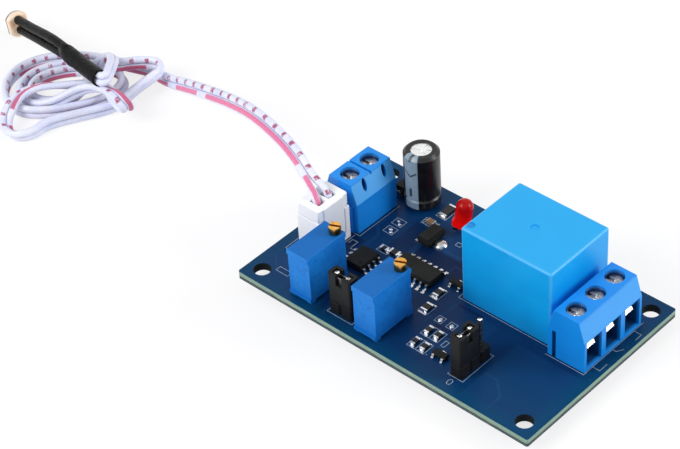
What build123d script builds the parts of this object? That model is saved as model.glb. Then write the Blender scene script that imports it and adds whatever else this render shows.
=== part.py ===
from build123d import *
import math
import os

# Light sensor relay module: a small control board with a sealed relay, screw terminals,
# two trimmers, two jumper headers, surface-mounted chips and a photocell on a flat lead.
# Frame: millimetres, +X along the board towards the relay's output terminal, +Y across the
# board, +Z up. The origin is under the board's centre, level with the tips of the pins below.

# Round features out of sight, such as shanks, small bores and leads, have flat sides to stay light
hidden_sides = 12
pin_hole_sides = 6
oval_sides = 24

# Board
board_length = 64.0
board_width = 39.5
board_thickness = 1.6
board_corner_radius = 0.4
mount_hole_diameter = 3.2
mount_hole_inset = 3.0
pin_drop = 2.0
pin_hole_play = 0.15
solder_height = 1.1
solder_spread = 0.55
solder_tip = 0.12

# Play between pieces that sit together
seat_play = 0.05
running_play = 0.05

# Relay: case, base and the magnet system inside
relay_x = 11.9
relay_y = 7.15
relay_length = 19.0
relay_width = 15.4
relay_height = 15.5
relay_wall = 0.8
relay_edge_radius = 0.45
relay_base_lift = 0.4
relay_base_thickness = 1.2
relay_pin_thickness = 0.4
relay_pin_width = 0.9
relay_common_pin_inset = 1.0
relay_coil_pin_step = 2.1
relay_contact_pin_inset = 2.1
relay_core_step = 6.5
relay_common_pin_x = relay_wall + relay_common_pin_inset - relay_length / 2
relay_coil_pin_x = relay_common_pin_x + relay_coil_pin_step
relay_contact_pin_x = relay_length / 2 - relay_wall - relay_contact_pin_inset
relay_contact_pin_y = 6.0
relay_dimple_diameter = 1.5
relay_dimple_depth = 0.15
relay_dimple_inset = (0.95, 1.55)
coil_pin_rise = 1.5
yoke_thickness = 1.0
yoke_pin_offset = 0.3
yoke_foot_reach = 1.0
yoke_width = 8.6
yoke_top = 11.6
core_x = relay_common_pin_x + relay_core_step
core_diameter = 3.0
pole_diameter = 6.2
pole_thickness = 0.6
pole_gap = 0.45
bobbin_flange = 8.6
bobbin_flange_thickness = 0.8
bobbin_wall = 0.6
winding_diameter = 7.8
armature_thickness = 0.9
armature_width = 7.6
armature_overhang = 0.8
armature_corner = 1.2
spring_thickness = 0.25
spring_width = 3.4
contact_diameter = 1.9
contact_height = 0.45
contact_gap = 0.35
rivet_diameter = 1.5
rivet_height = 0.3
rivet_offsets = (-2.5, 0.5)

# Screw terminals with rising clamps
terminal_pitch = 5.08
terminal_depth = 7.6
terminal_top_depth = 5.1
terminal_height = 10.2
terminal_slope_start = 6.2
terminal_entry_width = 3.9
terminal_entry_floor = 0.7
terminal_entry_back = 1.95
terminal_entry_lip = 0.35
terminal_well_diameter = 3.45
terminal_well_floor = 7.5
terminal_shoulder = 1.0
terminal_rail_width = 0.8
terminal_rail_depth = 0.5
terminal_rail_height = 5.6
terminal_rail_inset = 1.3
output_terminal_gap = 0.6
output_terminal_x = relay_x + relay_length / 2 + output_terminal_gap + terminal_depth / 2
output_terminal_y = 5.5
output_pole_count = 3
input_terminal_x = -26.1
input_terminal_y = 5.8
input_pole_count = 2
probe_slot_width = 1.0
probe_slot_length = 2.6
probe_slot_offset = 0.4
probe_slot_rise = 2.6
probe_slot_sink = 0.8
terminal_ramp_length = 1.6
seam_width = 0.4
seam_depth = 0.5
screw_head_diameter = 3.2
screw_head_height = 1.6
screw_shank_diameter = 2.5
screw_tip_height = 4.3
screw_slot_width = 0.6
screw_slot_depth = 0.8
cross_slot_share = 0.62
screw_thread_pitch = 0.5
clamp_width = 3.6
clamp_depth = 3.5
clamp_wall = 0.5
clamp_top_thickness = 0.9
clamp_floor_height = 1.9
clamp_height = 4.0
clamp_open_travel = 1.05
clamp_close_travel = 0.45
bar_thickness = 0.7
bar_width = 2.2
bar_height = 2.95
bar_back = 2.3
terminal_pin_width = 1.0
bar_setback = 0.2

# Multi-turn trimmers
trimmer_length = 9.53
trimmer_width = 4.83
trimmer_height = 10.03
trimmer_standoff = 0.4
trimmer_lip = 0.25
trimmer_lip_height = 1.1
trimmer_foot_height = 0.6
trimmer_edge_radius = 0.2
trimmer_stand_length = 1.2
trimmer_stand_width = 1.0
trimmer_stand_inset = 0.2
trimmer_screw_turn = 25.0
trimmer_screw_inset = 1.27
trimmer_screw_diameter = 2.19
trimmer_screw_height = 1.5
trimmer_shank_diameter = 1.5
trimmer_bore_depth = 2.6
trimmer_slot_width = 0.5
trimmer_slot_depth = 0.7
trimmer_pin_pitch = 2.54
trimmer_pin_size = 0.5
sensitivity_trimmer_x = -18.6
delay_trimmer_x = -3.9
trimmer_y = -13.45

# Pin headers and jumper caps
header_pitch = 2.54
header_base_height = 2.5
header_pin_size = 0.64
header_pin_rise = 8.5
header_notch = 0.35
pin_tip_chamfer = 0.15
jumper_width = 2.4
jumper_length = 5.0
jumper_height = 6.0
jumper_window = 1.3
jumper_window_height = 2.1
jumper_clip_thickness = 0.2
jumper_clip_height = 4.6
jumper_corner = 0.3
clip_lift = 0.6
mode_header_x = -10.4
mode_header_y = -15.85
mode_pin_count = 2
output_header_x = 14.1
output_header_y = -12.3
output_pin_count = 3

# Sensor connector, shrouded header and plug
socket_x = -25.8
socket_y = -4.2
socket_depth = 5.75
socket_length = 7.4
socket_height = 7.0
socket_wall = 0.8
socket_floor = 1.6
socket_post = 1.2
socket_pin_pitch = 2.5
socket_pin_size = 0.64
socket_pin_rise = 5.2
socket_corner_radius = 0.3
socket_notch_depth = 2.2
plug_top = 9.8
plug_flange_start = 7.3
plug_flange_overhang = 0.35
plug_cavity_depth = 3.4
plug_cavity_x = 1.9
plug_cavity_y = 1.9
plug_key_width = 2.6
plug_floor_gap = 0.3
plug_face_setback = 0.1
plug_corner_radius = 0.35
plug_cavity_slope = 0.3
crimp_length = 2.2
crimp_wall = 0.25
crimp_width = 1.5

# Capacitor
capacitor_x = -19.2
capacitor_y = 14.35
capacitor_diameter = 6.3
capacitor_height = 11.0
capacitor_lift = 0.9
capacitor_wall = 0.3
capacitor_shoulder = 0.4
capacitor_sleeve_wall = 0.12
capacitor_lip = 1.25
sleeve_gap = 0.02
capacitor_lead_spacing = 2.5
capacitor_lead_diameter = 0.5
capacitor_neck_height = 1.7
capacitor_neck_depth = 0.25
capacitor_bung_height = 1.4
capacitor_vent_width = 0.25
capacitor_vent_depth = 0.2
capacitor_vent_share = 0.62
capacitor_vent_fork = 55.0
capacitor_vent_turn = 30.0
capacitor_neck_share = 1.3

# Indicator lamp, leaning over its own leads
lamp_x = -8.85
lamp_y = 12.5
lamp_diameter = 3.1
lamp_flange_diameter = 3.6
lamp_flange_height = 0.9
lamp_length = 5.2
lamp_lift = 1.3
lamp_lean = 15.0
lamp_lead_size = 0.45
lamp_lead_spacing = 2.54
lamp_lead_bend = 0.5
lamp_flat_margin = 0.05

# Surface-mounted packages
lead_pitch = 1.27
lead_width = 0.42
lead_thickness = 0.2
chip_lead_foot = 0.6
transistor_lead_foot = 0.25
package_gap = 0.15
chip_body_width = 3.9
chip_body_height = 1.45
chip_lead_span = 6.0
chip_draft = 0.15
chip_mark_diameter = 0.7
chip_mark_depth = 0.1
chip_mark_inset = 0.9
comparator_x = -16.8
comparator_y = -4.5
comparator_length = 4.9
comparator_leads_per_side = 4
logic_x = -7.45
logic_y = -0.65
logic_length = 8.65
logic_leads_per_side = 7
transistor_length = 2.9
transistor_width = 1.3
transistor_height = 1.0
transistor_span = 2.5
transistor_pitch = 1.9
transistor_relay_gap = 0.95
transistor_places = [
    (relay_x - relay_length / 2 - transistor_relay_gap - transistor_length / 2, 1.1),
    (9.1, -13.95),
]
regulator_x = -11.2
regulator_y = 7.3
regulator_length = 4.5
regulator_width = 2.5
regulator_height = 2.1
regulator_lead_pitch = 1.5
regulator_lead_reach = 1.0
regulator_tab_width = 1.7
regulator_tab_sink = 1.0
regulator_lead_sink = 0.5
diode_x = -23.7
diode_y = 15.2
diode_length = 4.2
diode_width = 2.0
diode_height = 2.1
diode_tab_thickness = 0.135
diode_tab_reach = 0.8
diode_tab_gap = 0.25
diode_tab_share = 0.55

# Small chip parts: centre, direction of their length, length and width
chip_end_length = 0.4
chip_resistor_height = 0.55
chip_capacitor_height = 0.8
chip_core_sink = 0.04
chip_resistor_places = [
    (3.55, -13.95, "y", 1.8, 1.0),
    (5.65, -13.95, "y", 1.8, 1.0),
    (3.55, -10.45, "y", 1.8, 1.0),
    (5.65, -10.45, "y", 1.8, 1.0),
    (-0.35, -6.4, "y", 2.0, 1.4),
    (-16.0, 0.4, "x", 1.6, 0.9),
    (-14.0, 15.0, "y", 3.2, 1.6),
    (-1.25, -2.4, "y", 2.0, 1.25),
    (-13.9, 0.7, "x", 2.0, 1.25),
]
chip_capacitor_places = [
    (-14.3, 10.75, "x", 1.8, 1.0),
]

# Photocell lead: flat two-core cord, its hank, and the photocell on its sleeved legs
cord_width = 2.6
cord_thickness = 1.3
cord_edge = 0.4
cord_bend_share = 0.45
hank_edge_share = 0.12
hank_edge_height = 0.9
coil_x = -98.0
coil_y = 0.0
coil_heading = 57.0
coil_length = 29.5
coil_width = 19.5
coil_height = 3.9
coil_opening_length = 13.0
coil_opening_width = 6.0
hank_lobes = [
    # The front loop, the side fold, the tail and the crossing turns: x, y, heading, length, width, height
    (-94.8, -11.6, 100.0, 16.0, 11.4, 4.6),
    (-87.8, 5.8, 85.0, 23.5, 9.0, 4.9),
    (-85.6, -0.4, 8.0, 14.6, 5.6, 5.9),
    (-90.0, 3.2, 142.0, 14.0, 6.4, 7.6),
]
front_loop_opening_length = 8.0
front_loop_opening_width = 4.6
hank_trough_share = 0.9
stem_start = (-86.1, -1.1, 9.0)
stem_end = (-119.6, 6.5, 2.7)
splice_diameter = 3.3
splice_length = 17.0
leg_sleeve_diameter = 1.85
leg_spacing = 1.95
leg_diameter = 0.5
photocell_diameter = 5.1
photocell_flat = 4.3
photocell_thickness = 2.0

# Levels worked out from the sizes above
board_bottom = pin_drop
board_top = pin_drop + board_thickness


def block(x0, x1, y0, y1, z0, z1):
    """A box between two corners."""
    return Pos((x0 + x1) / 2, (y0 + y1) / 2, (z0 + z1) / 2) * Box(x1 - x0, y1 - y0, z1 - z0)


def rod(diameter, z0, z1, x=0.0, y=0.0):
    """A round rod along Z."""
    return Pos(x, y, (z0 + z1) / 2) * Cylinder(diameter / 2, z1 - z0)


def flat_sided_rod(diameter, z0, z1, x=0.0, y=0.0, sides=hidden_sides):
    """A rod with flat sides, its corners on the given diameter."""
    return Pos(x, y, z0) * extrude(RegularPolygon(diameter / 2, sides), z1 - z0)


def flat_sided_bore(diameter, z0, z1, x=0.0, y=0.0, sides=hidden_sides):
    """A bore with flat sides that a round rod of the given diameter just passes."""
    return Pos(x, y, z0) * extrude(RegularPolygon(diameter / 2, sides, major_radius=False), z1 - z0)


def turned(points):
    """A solid of revolution about Z from (radius, height) points."""
    outline = Polyline(*[(r, 0, z) for r, z in points], close=True)
    return revolve(make_face(outline), Axis.Z)


def prism(points, low, high):
    """An outline of (x, z) points, extruded along Y from low to high."""
    face = make_face(Polyline(*[(x, low, z) for x, z in points], close=True))
    return extrude(face, high - low, dir=(0, 1, 0))


def frustum(low, high):
    """A solid with flat sides between two like outlines, given as (x, y, z) corners."""
    faces = [Face(Wire.make_polygon(low)), Face(Wire.make_polygon(high))]
    for i in range(len(low)):
        j = (i + 1) % len(low)
        faces.append(Face(Wire.make_polygon([low[i], low[j], high[j], high[i]])))
    return Solid(Shell(faces))


def oval_corners(length, width, z, sides, x=0.0, y=0.0):
    """Corners of a flat-sided oval, its long way along X."""
    turns = [2 * math.pi * i / sides for i in range(sides)]
    return [(x + length / 2 * math.cos(a), y + width / 2 * math.sin(a), z) for a in turns]


def rectangle_corners(length, width, z):
    return [(sx * length / 2, sy * width / 2, z) for sx, sy in ((-1, -1), (1, -1), (1, 1), (-1, 1))]


def strip_outline(points, thickness):
    """The mitred outline of a bent strip of even thickness that follows (a, b) points."""
    left, right = [], []
    for i, (a, b) in enumerate(points):
        before = points[max(i - 1, 0)]
        after = points[min(i + 1, len(points) - 1)]
        turn_in = math.atan2(b - before[1], a - before[0]) if i else None
        turn_out = math.atan2(after[1] - b, after[0] - a) if i < len(points) - 1 else None
        turn_in = turn_out if turn_in is None else turn_in
        turn_out = turn_in if turn_out is None else turn_out
        half_turn = math.remainder(turn_out - turn_in, 2 * math.pi) / 2
        middle = turn_in + half_turn
        reach = thickness / 2 / math.cos(half_turn)
        left.append((a - reach * math.sin(middle), b + reach * math.cos(middle)))
        right.append((a + reach * math.sin(middle), b - reach * math.cos(middle)))
    return left + right[::-1]


def strip(points, thickness, width):
    """A bent metal strip in the XZ plane, centred on Y."""
    return prism(strip_outline(points, thickness), -width / 2, width / 2)


def group(parts):
    """Separate solids kept as one node."""
    solids = []
    for part in parts:
        solids.extend(part.solids())
    return Compound(solids)


def row(count, pitch):
    """Evenly spaced places, centred on zero."""
    return [(i - (count - 1) / 2) * pitch for i in range(count)]


# Relay pins: x, y, thickness along X and width along Y
relay_pins = [
    (relay_common_pin_x, 0.0, relay_pin_thickness, relay_pin_width),
    (relay_coil_pin_x, -relay_contact_pin_y, relay_pin_thickness, relay_pin_width),
    (relay_coil_pin_x, relay_contact_pin_y, relay_pin_thickness, relay_pin_width),
    (relay_contact_pin_x, -relay_contact_pin_y, relay_pin_width, relay_pin_thickness),
    (relay_contact_pin_x, relay_contact_pin_y, relay_pin_width, relay_pin_thickness),
]
output_poles = row(output_pole_count, terminal_pitch)
input_poles = row(input_pole_count, terminal_pitch)
mode_pins = row(mode_pin_count, header_pitch)
output_pins = row(output_pin_count, header_pitch)
socket_pins = row(2, socket_pin_pitch)
trimmer_pins = row(3, trimmer_pin_pitch)
capacitor_leads = row(2, capacitor_lead_spacing)
lamp_leads = row(2, lamp_lead_spacing)


def pin_places():
    """Every through-hole pin: x, y and its size along X and along Y."""
    places = [(relay_x + x, relay_y + y, size_x, size_y) for x, y, size_x, size_y in relay_pins]
    bars = [(output_terminal_x - bar_back, output_terminal_y + v) for v in output_poles]
    bars += [(input_terminal_x + bar_back, input_terminal_y + v) for v in input_poles]
    places += [(x, y, bar_thickness, terminal_pin_width) for x, y in bars]
    posts = [(mode_header_x + u, mode_header_y) for u in mode_pins]
    posts += [(output_header_x, output_header_y + v) for v in output_pins]
    places += [(x, y, header_pin_size, header_pin_size) for x, y in posts]
    places += [(socket_x, socket_y + v, socket_pin_size, socket_pin_size) for v in socket_pins]
    for x in (sensitivity_trimmer_x, delay_trimmer_x):
        places += [(x, trimmer_y + v, trimmer_pin_size, trimmer_pin_size) for v in trimmer_pins]
    places += [(capacitor_x + u, capacitor_y, capacitor_lead_diameter, capacitor_lead_diameter)
               for u in capacitor_leads]
    places += [(lamp_x + u, lamp_y, lamp_lead_size, lamp_lead_size) for u in lamp_leads]
    return places


def circuit_board():
    half_x = board_length / 2
    half_y = board_width / 2
    board = block(-half_x, half_x, -half_y, half_y, board_bottom, board_top)
    board = fillet(board.edges().filter_by(Axis.Z), board_corner_radius)
    hole_x = half_x - mount_hole_inset
    hole_y = half_y - mount_hole_inset
    cuts = [
        rod(mount_hole_diameter, board_bottom - 1, board_top + 1, sx * hole_x, sy * hole_y)
        for sx in (-1, 1)
        for sy in (-1, 1)
    ]
    for x, y, size_x, size_y in pin_places():
        across = math.hypot(size_x, size_y) + 2 * pin_hole_play
        cuts.append(flat_sided_bore(across, board_bottom - 1, board_top + 1, x, y, pin_hole_sides))
    return board - cuts


def solder_joints():
    """A cone of solder round each pin under the board."""
    cones = []
    low = board_bottom - solder_height
    for x, y, size_x, size_y in pin_places():
        half = math.hypot(size_x, size_y) / 2
        tip = 2 * (half + solder_tip)
        foot = 2 * (half + pin_hole_play + solder_spread)
        cone = frustum(oval_corners(tip, tip, low, pin_hole_sides, x, y),
                       oval_corners(foot, foot, board_bottom, pin_hole_sides, x, y))
        pin = Pos(x, y, board_bottom) * Box(size_x, size_y, 4 * solder_height)
        cones.append(cone - pin)
    return group(cones)


# Relay


def relay_place(part):
    return Pos(relay_x, relay_y, board_top) * part


def relay_case():
    outer = Pos(0, 0, relay_height / 2) * Box(relay_length, relay_width, relay_height)
    edges = outer.edges().filter_by(Axis.Z) + outer.faces().sort_by(Axis.Z)[-1].edges()
    outer = fillet(edges, relay_edge_radius)
    inner_height = relay_height - relay_wall
    inner = Pos(0, 0, inner_height / 2) * Box(
        relay_length - 2 * relay_wall, relay_width - 2 * relay_wall, inner_height
    )
    inset_x, inset_y = relay_dimple_inset
    dimples = [
        flat_sided_bore(relay_dimple_diameter, relay_height - relay_dimple_depth, relay_height + 1, x, y,
                        oval_sides)
        for x, y in ((inset_x - relay_length / 2, inset_y - relay_width / 2), (0, 0))
    ]
    return relay_place(outer - inner - dimples)


def relay_slot_cuts(z0, z1):
    """Slots that the relay's pins pass through."""
    cuts = []
    for x, y, size_x, size_y in relay_pins:
        along = size_x / 2 + seat_play
        across = size_y / 2 + seat_play
        cuts.append(block(x - along, x + along, y - across, y + across, z0, z1))
    return cuts


def relay_base():
    half_x = relay_length / 2 - relay_wall - seat_play
    half_y = relay_width / 2 - relay_wall - seat_play
    top = relay_base_lift + relay_base_thickness
    base = block(-half_x, half_x, -half_y, half_y, relay_base_lift, top)
    return relay_place(base - relay_slot_cuts(relay_base_lift - 1, top + 1))


def relay_levels():
    """Heights above the board of the magnet system, from the base up."""
    base = relay_base_lift + relay_base_thickness
    foot_top = base + yoke_thickness
    pole_top = yoke_top - pole_gap
    flange_top = pole_top - pole_thickness
    return base, foot_top, flange_top, pole_top


def relay_yoke():
    """The L-shaped iron frame, with the common pin at its heel."""
    base, foot_top, flange_top, pole_top = relay_levels()
    middle = yoke_thickness / 2
    path = [
        (relay_common_pin_x + yoke_pin_offset, yoke_top),
        (relay_common_pin_x + yoke_pin_offset, base + middle),
        (core_x + core_diameter / 2 + yoke_foot_reach, base + middle),
    ]
    frame = strip(path, yoke_thickness, yoke_width)
    frame -= flat_sided_rod(core_diameter, base - 1, foot_top + 1, core_x)
    return relay_place(frame)


def relay_core():
    base, foot_top, flange_top, pole_top = relay_levels()
    core = flat_sided_rod(core_diameter, base, flange_top)
    core += flat_sided_rod(pole_diameter, flange_top, pole_top)
    return relay_place(Pos(core_x, 0, 0) * core)


def relay_bobbin():
    """A spool with square flanges on a round hub."""
    base, foot_top, flange_top, pole_top = relay_levels()
    bore = core_diameter + 2 * running_play
    half = bobbin_flange / 2
    low = foot_top + seat_play
    high = flange_top - seat_play
    spool = flat_sided_rod(bore + 2 * bobbin_wall, low, high)
    for z in (low, high - bobbin_flange_thickness):
        spool += block(-half, half, -half, half, z, z + bobbin_flange_thickness)
    spool -= flat_sided_bore(bore, low - 1, high + 1)
    return relay_place(Pos(core_x, 0, 0) * spool)


def relay_winding():
    base, foot_top, flange_top, pole_top = relay_levels()
    hub = core_diameter + 2 * running_play + 2 * bobbin_wall + 2 * seat_play
    low = foot_top + bobbin_flange_thickness + 2 * seat_play
    high = flange_top - bobbin_flange_thickness - 2 * seat_play
    coil = flat_sided_rod(winding_diameter, low, high) - flat_sided_bore(hub, low - 1, high + 1)
    return relay_place(Pos(core_x, 0, 0) * coil)


def armature_pivot():
    """The yoke's inner top edge, about which the armature rocks (relay coordinates)."""
    return relay_common_pin_x + yoke_pin_offset + yoke_thickness / 2, yoke_top + seat_play


def relay_armature():
    pivot_x, plate_low = armature_pivot()
    near = pivot_x - yoke_thickness
    far = core_x + pole_diameter / 2 + armature_overhang
    half = armature_width / 2
    plate = block(near, far, -half, half, plate_low, plate_low + armature_thickness)
    plate = chamfer(plate.faces().sort_by(Axis.X)[-1].edges().filter_by(Axis.Z), armature_corner)
    return relay_place(plate)


def relay_contact_spring():
    """The springy contact arm riveted on the armature, with its contact at the tip."""
    pivot_x, plate_low = armature_pivot()
    low = plate_low + armature_thickness
    high = low + spring_thickness
    half = spring_width / 2
    arm = block(pivot_x, relay_contact_pin_x, -half, half, low, high)
    tip = flat_sided_rod(contact_diameter, low - contact_height, high + contact_height,
                         relay_contact_pin_x - half / 2)
    rivets = [flat_sided_rod(rivet_diameter, high, high + rivet_height, core_x + u) for u in rivet_offsets]
    return relay_place(arm + tip + rivets)


def relay_fixed_contact(side, contact_level, arm_level):
    """A fixed contact: pin, riser and an arm that reaches the moving contact."""
    tip_y = -side * contact_diameter / 2
    path = [
        (side * relay_contact_pin_y, -board_thickness - pin_drop),
        (side * relay_contact_pin_y, arm_level),
        (tip_y, arm_level),
    ]
    arm_width = contact_diameter
    outline = strip_outline(path, relay_pin_thickness)
    arm = prism(outline, -arm_width / 2, arm_width / 2)
    pin_trim = relay_base_lift + relay_base_thickness
    for s in (-1, 1):
        low_y, high_y = sorted((s * relay_pin_width / 2, s * arm_width))
        arm -= block(-relay_width, relay_width, low_y, high_y, -board_thickness - pin_drop - 1, pin_trim)
    arm = Rot(0, 0, 90) * arm
    button = flat_sided_rod(contact_diameter, min(contact_level, arm_level), max(contact_level, arm_level))
    return arm, button


def relay_contacts():
    """Coil pins, common pin and the two fixed contacts, above and below the moving one."""
    pivot_x, plate_low = armature_pivot()
    spring_low = plate_low + armature_thickness
    tip_low = spring_low - contact_height
    tip_high = spring_low + spring_thickness + contact_height
    tip_x = relay_contact_pin_x - spring_width / 4
    parts = []
    levels = (
        (1, tip_low - contact_gap - seat_play, -1),
        (-1, tip_high + seat_play, 1),
    )
    for side, contact_level, away in levels:
        arm_level = contact_level + away * (contact_height + relay_pin_thickness / 2)
        arm, button = relay_fixed_contact(side, contact_level, arm_level)
        shift = Pos(relay_contact_pin_x, 0, 0)
        parts.append(shift * arm + Pos(tip_x, 0, 0) * button)
    base, foot_top, flange_top, pole_top = relay_levels()
    tip = -board_thickness - pin_drop
    for x, y, size_x, size_y in relay_pins[:3]:
        top = base if y == 0 else foot_top + coil_pin_rise
        parts.append(block(x - size_x / 2, x + size_x / 2, y - size_y / 2, y + size_y / 2, tip, top))
    return relay_place(group(parts))


# Screw terminals: u runs towards the wire entries, which face +X before placing


def terminal_housing(poles, seam, probe_slots):
    half = terminal_depth / 2
    top_half = terminal_top_depth / 2
    end = poles[-1] + terminal_pitch / 2
    profile = [(-half, 0), (half, 0), (half, terminal_slope_start), (top_half, terminal_height),
               (-top_half, terminal_height), (-half, terminal_slope_start)]
    body = prism(profile, -end, end)
    rail_x = -half + terminal_rail_inset
    rail = [(rail_x - terminal_rail_width / 2, 0), (rail_x + terminal_rail_width / 2, 0),
            (rail_x + terminal_rail_width / 2, terminal_rail_height),
            (rail_x - terminal_rail_width / 2, terminal_rail_height)]
    groove = [(x, z - 1 if z == 0 else z + seat_play) for x, z in rail]
    body -= prism(groove, -end - 1, -end + terminal_rail_depth + seat_play)
    body += prism(rail, end, end + terminal_rail_depth)
    cavity_top = terminal_well_floor - terminal_shoulder
    entry = [
        (-terminal_entry_back, terminal_entry_floor),
        (half - terminal_ramp_length, terminal_entry_floor),
        (half + 0.01, terminal_entry_lip),
        (half + 1, terminal_entry_lip),
        (half + 1, terminal_slope_start),
        (terminal_entry_back, terminal_slope_start),
        (terminal_entry_back, cavity_top),
        (-terminal_entry_back, cavity_top),
    ]
    wide = terminal_entry_width / 2
    cuts = []
    for v in poles:
        cuts.append(prism(entry, v - wide, v + wide))
        cuts.append(rod(terminal_well_diameter, terminal_well_floor, terminal_height + 1, 0, v))
        cuts.append(flat_sided_bore(screw_shank_diameter + 2 * running_play, cavity_top - 1,
                                    terminal_well_floor + 1, 0, v))
        bar_half = bar_width / 2 + seat_play
        low = bar_height - seat_play
        high = bar_height + bar_thickness + seat_play
        back = -bar_back - bar_thickness / 2 - seat_play
        cuts.append(block(back, 0, v - bar_half, v + bar_half, low, high))
        leg_half = terminal_pin_width / 2 + seat_play
        cuts.append(block(back, back + bar_thickness + 2 * seat_play, v - leg_half, v + leg_half, -1, high))
        if probe_slots:
            reach = half - top_half + probe_slot_sink
            ends = [oval_corners(probe_slot_length, probe_slot_width, x, hidden_sides) for x in (-reach, reach)]
            slot = Rot(0, 90, 0) * frustum(*ends)
            cuts.append(Pos(-half, v - probe_slot_offset, terminal_slope_start + probe_slot_rise) * slot)
    if seam:
        for v in row(len(poles) - 1, terminal_pitch):
            cuts.append(block(-half, half, v - seam_width / 2, v + seam_width / 2, terminal_height - seam_depth,
                              terminal_height + 1))
    return body - cuts


def terminal_screw():
    """A captive screw: slotted head in the well, shank down to just over the contact bar."""
    radius = screw_head_diameter / 2
    floor = terminal_well_floor + seat_play
    top = floor + screw_head_height
    screw = rod(screw_head_diameter, floor, top)
    screw += flat_sided_rod(screw_shank_diameter, screw_tip_height, floor)
    depth = top - screw_slot_depth
    half = screw_slot_width / 2
    reach = radius * cross_slot_share
    return screw - [
        block(-radius - 1, radius + 1, -half, half, depth, top + 1),
        block(-half, half, -reach, reach, depth, top + 1),
    ]


def terminal_clamp():
    """The rising cage: a square tube with a thick, threaded top."""
    half_u = clamp_depth / 2
    half_v = clamp_width / 2
    top = clamp_floor_height + clamp_height
    cage = block(-half_u, half_u, -half_v, half_v, clamp_floor_height, top)
    inner_v = half_v - clamp_wall
    cage -= block(-half_u - 1, half_u + 1, -inner_v, inner_v, clamp_floor_height + clamp_wall,
                  top - clamp_top_thickness)
    return cage - flat_sided_bore(screw_shank_diameter + 2 * running_play, top - 2, top + 1)


def terminal_contact():
    """The fixed bar over the wire, bent down behind the clamp into the solder pin."""
    middle = bar_height + bar_thickness / 2
    tip = -board_thickness - pin_drop
    path = [(clamp_depth / 2 - bar_setback, middle), (-bar_back, middle), (-bar_back, tip)]
    contact = strip(path, bar_thickness, bar_width)
    for s in (-1, 1):
        low_y, high_y = sorted((s * terminal_pin_width / 2, s * bar_width))
        contact -= block(-bar_back - 1, -bar_back + 1, low_y, high_y, tip - 1, bar_height)
    return contact


def terminal_contacts(poles):
    return group([Pos(0, v, 0) * terminal_contact() for v in poles])


def output_place(part):
    return Pos(output_terminal_x, output_terminal_y, board_top) * part


def input_place(part):
    return Pos(input_terminal_x, input_terminal_y, board_top) * Rot(0, 0, 180) * part


# Trimmers


def trimmer_screw_x():
    return trimmer_width / 2 - trimmer_screw_inset


def trimmer_screw_y():
    return trimmer_length / 2 - trimmer_screw_inset


def trimmer_body():
    half_x = trimmer_width / 2
    half_y = trimmer_length / 2
    waist_y = half_y - trimmer_lip
    body = block(-half_x, half_x, -waist_y, waist_y, trimmer_standoff, trimmer_height)
    lid = block(-half_x, half_x, -half_y, half_y, trimmer_height - trimmer_lip_height, trimmer_height)
    foot = block(-half_x, half_x, -half_y, half_y, trimmer_standoff, trimmer_standoff + trimmer_foot_height)
    body = body + lid + foot
    body = fillet(body.faces().sort_by(Axis.Z)[-1].edges(), trimmer_edge_radius)
    stand_x = half_x - trimmer_stand_width / 2
    stand_y = half_y - trimmer_stand_inset - trimmer_stand_length / 2
    stands = [
        Pos(sx * stand_x, sy * stand_y, trimmer_standoff / 2)
        * Box(trimmer_stand_width, trimmer_stand_length, trimmer_standoff)
        for sx in (-1, 1)
        for sy in (-1, 1)
    ]
    bore = flat_sided_bore(trimmer_shank_diameter + 2 * running_play, trimmer_height - trimmer_bore_depth,
                           trimmer_height + 1, trimmer_screw_x(), trimmer_screw_y())
    return body + stands - bore


def trimmer_screw():
    radius = trimmer_screw_diameter / 2
    low = trimmer_height - trimmer_bore_depth + 2 * seat_play
    seat = trimmer_height + seat_play
    top = seat + trimmer_screw_height
    screw = flat_sided_rod(trimmer_shank_diameter, low, seat) + rod(trimmer_screw_diameter, seat, top)
    half = trimmer_slot_width / 2
    screw -= block(-radius - 1, radius + 1, -half, half, top - trimmer_slot_depth, top + 1)
    return Pos(trimmer_screw_x(), trimmer_screw_y(), 0) * Rot(0, 0, trimmer_screw_turn) * screw


def trimmer_pin_set():
    half = trimmer_pin_size / 2
    tip = -board_thickness - pin_drop
    return [block(-half, half, v - half, v + half, tip, trimmer_standoff) for v in trimmer_pins]


def trimmer_place(x, part):
    return Pos(x, trimmer_y, board_top) * part


# Headers and jumpers, with their row along Y before placing


def header_base(count):
    half = header_pitch / 2
    end = count * header_pitch / 2
    base = block(-half, half, -end, end, 0, header_base_height)
    cuts = []
    for v in row(count, header_pitch):
        hole = header_pin_size / 2
        cuts.append(block(-hole, hole, v - hole, v + hole, -1, header_base_height + 1))
    notch = header_notch * math.sqrt(2)
    for v in [-end] + row(count - 1, header_pitch) + [end]:
        for s in (-1, 1):
            wedge = Rot(0, 0, 45) * Box(notch, notch, 3 * header_base_height)
            cuts.append(Pos(s * half, v, 0) * wedge)
    return base - cuts


def header_pin(v):
    half = header_pin_size / 2
    low = -board_thickness - pin_drop
    pin = block(-half, half, v - half, v + half, low, header_pin_rise)
    ends = pin.faces().sort_by(Axis.Z)[0].edges() + pin.faces().sort_by(Axis.Z)[-1].edges()
    return chamfer(ends, pin_tip_chamfer)


def jumper_holes():
    """Where the two pins enter the cap, from the cap's middle."""
    return row(2, header_pitch)


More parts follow.
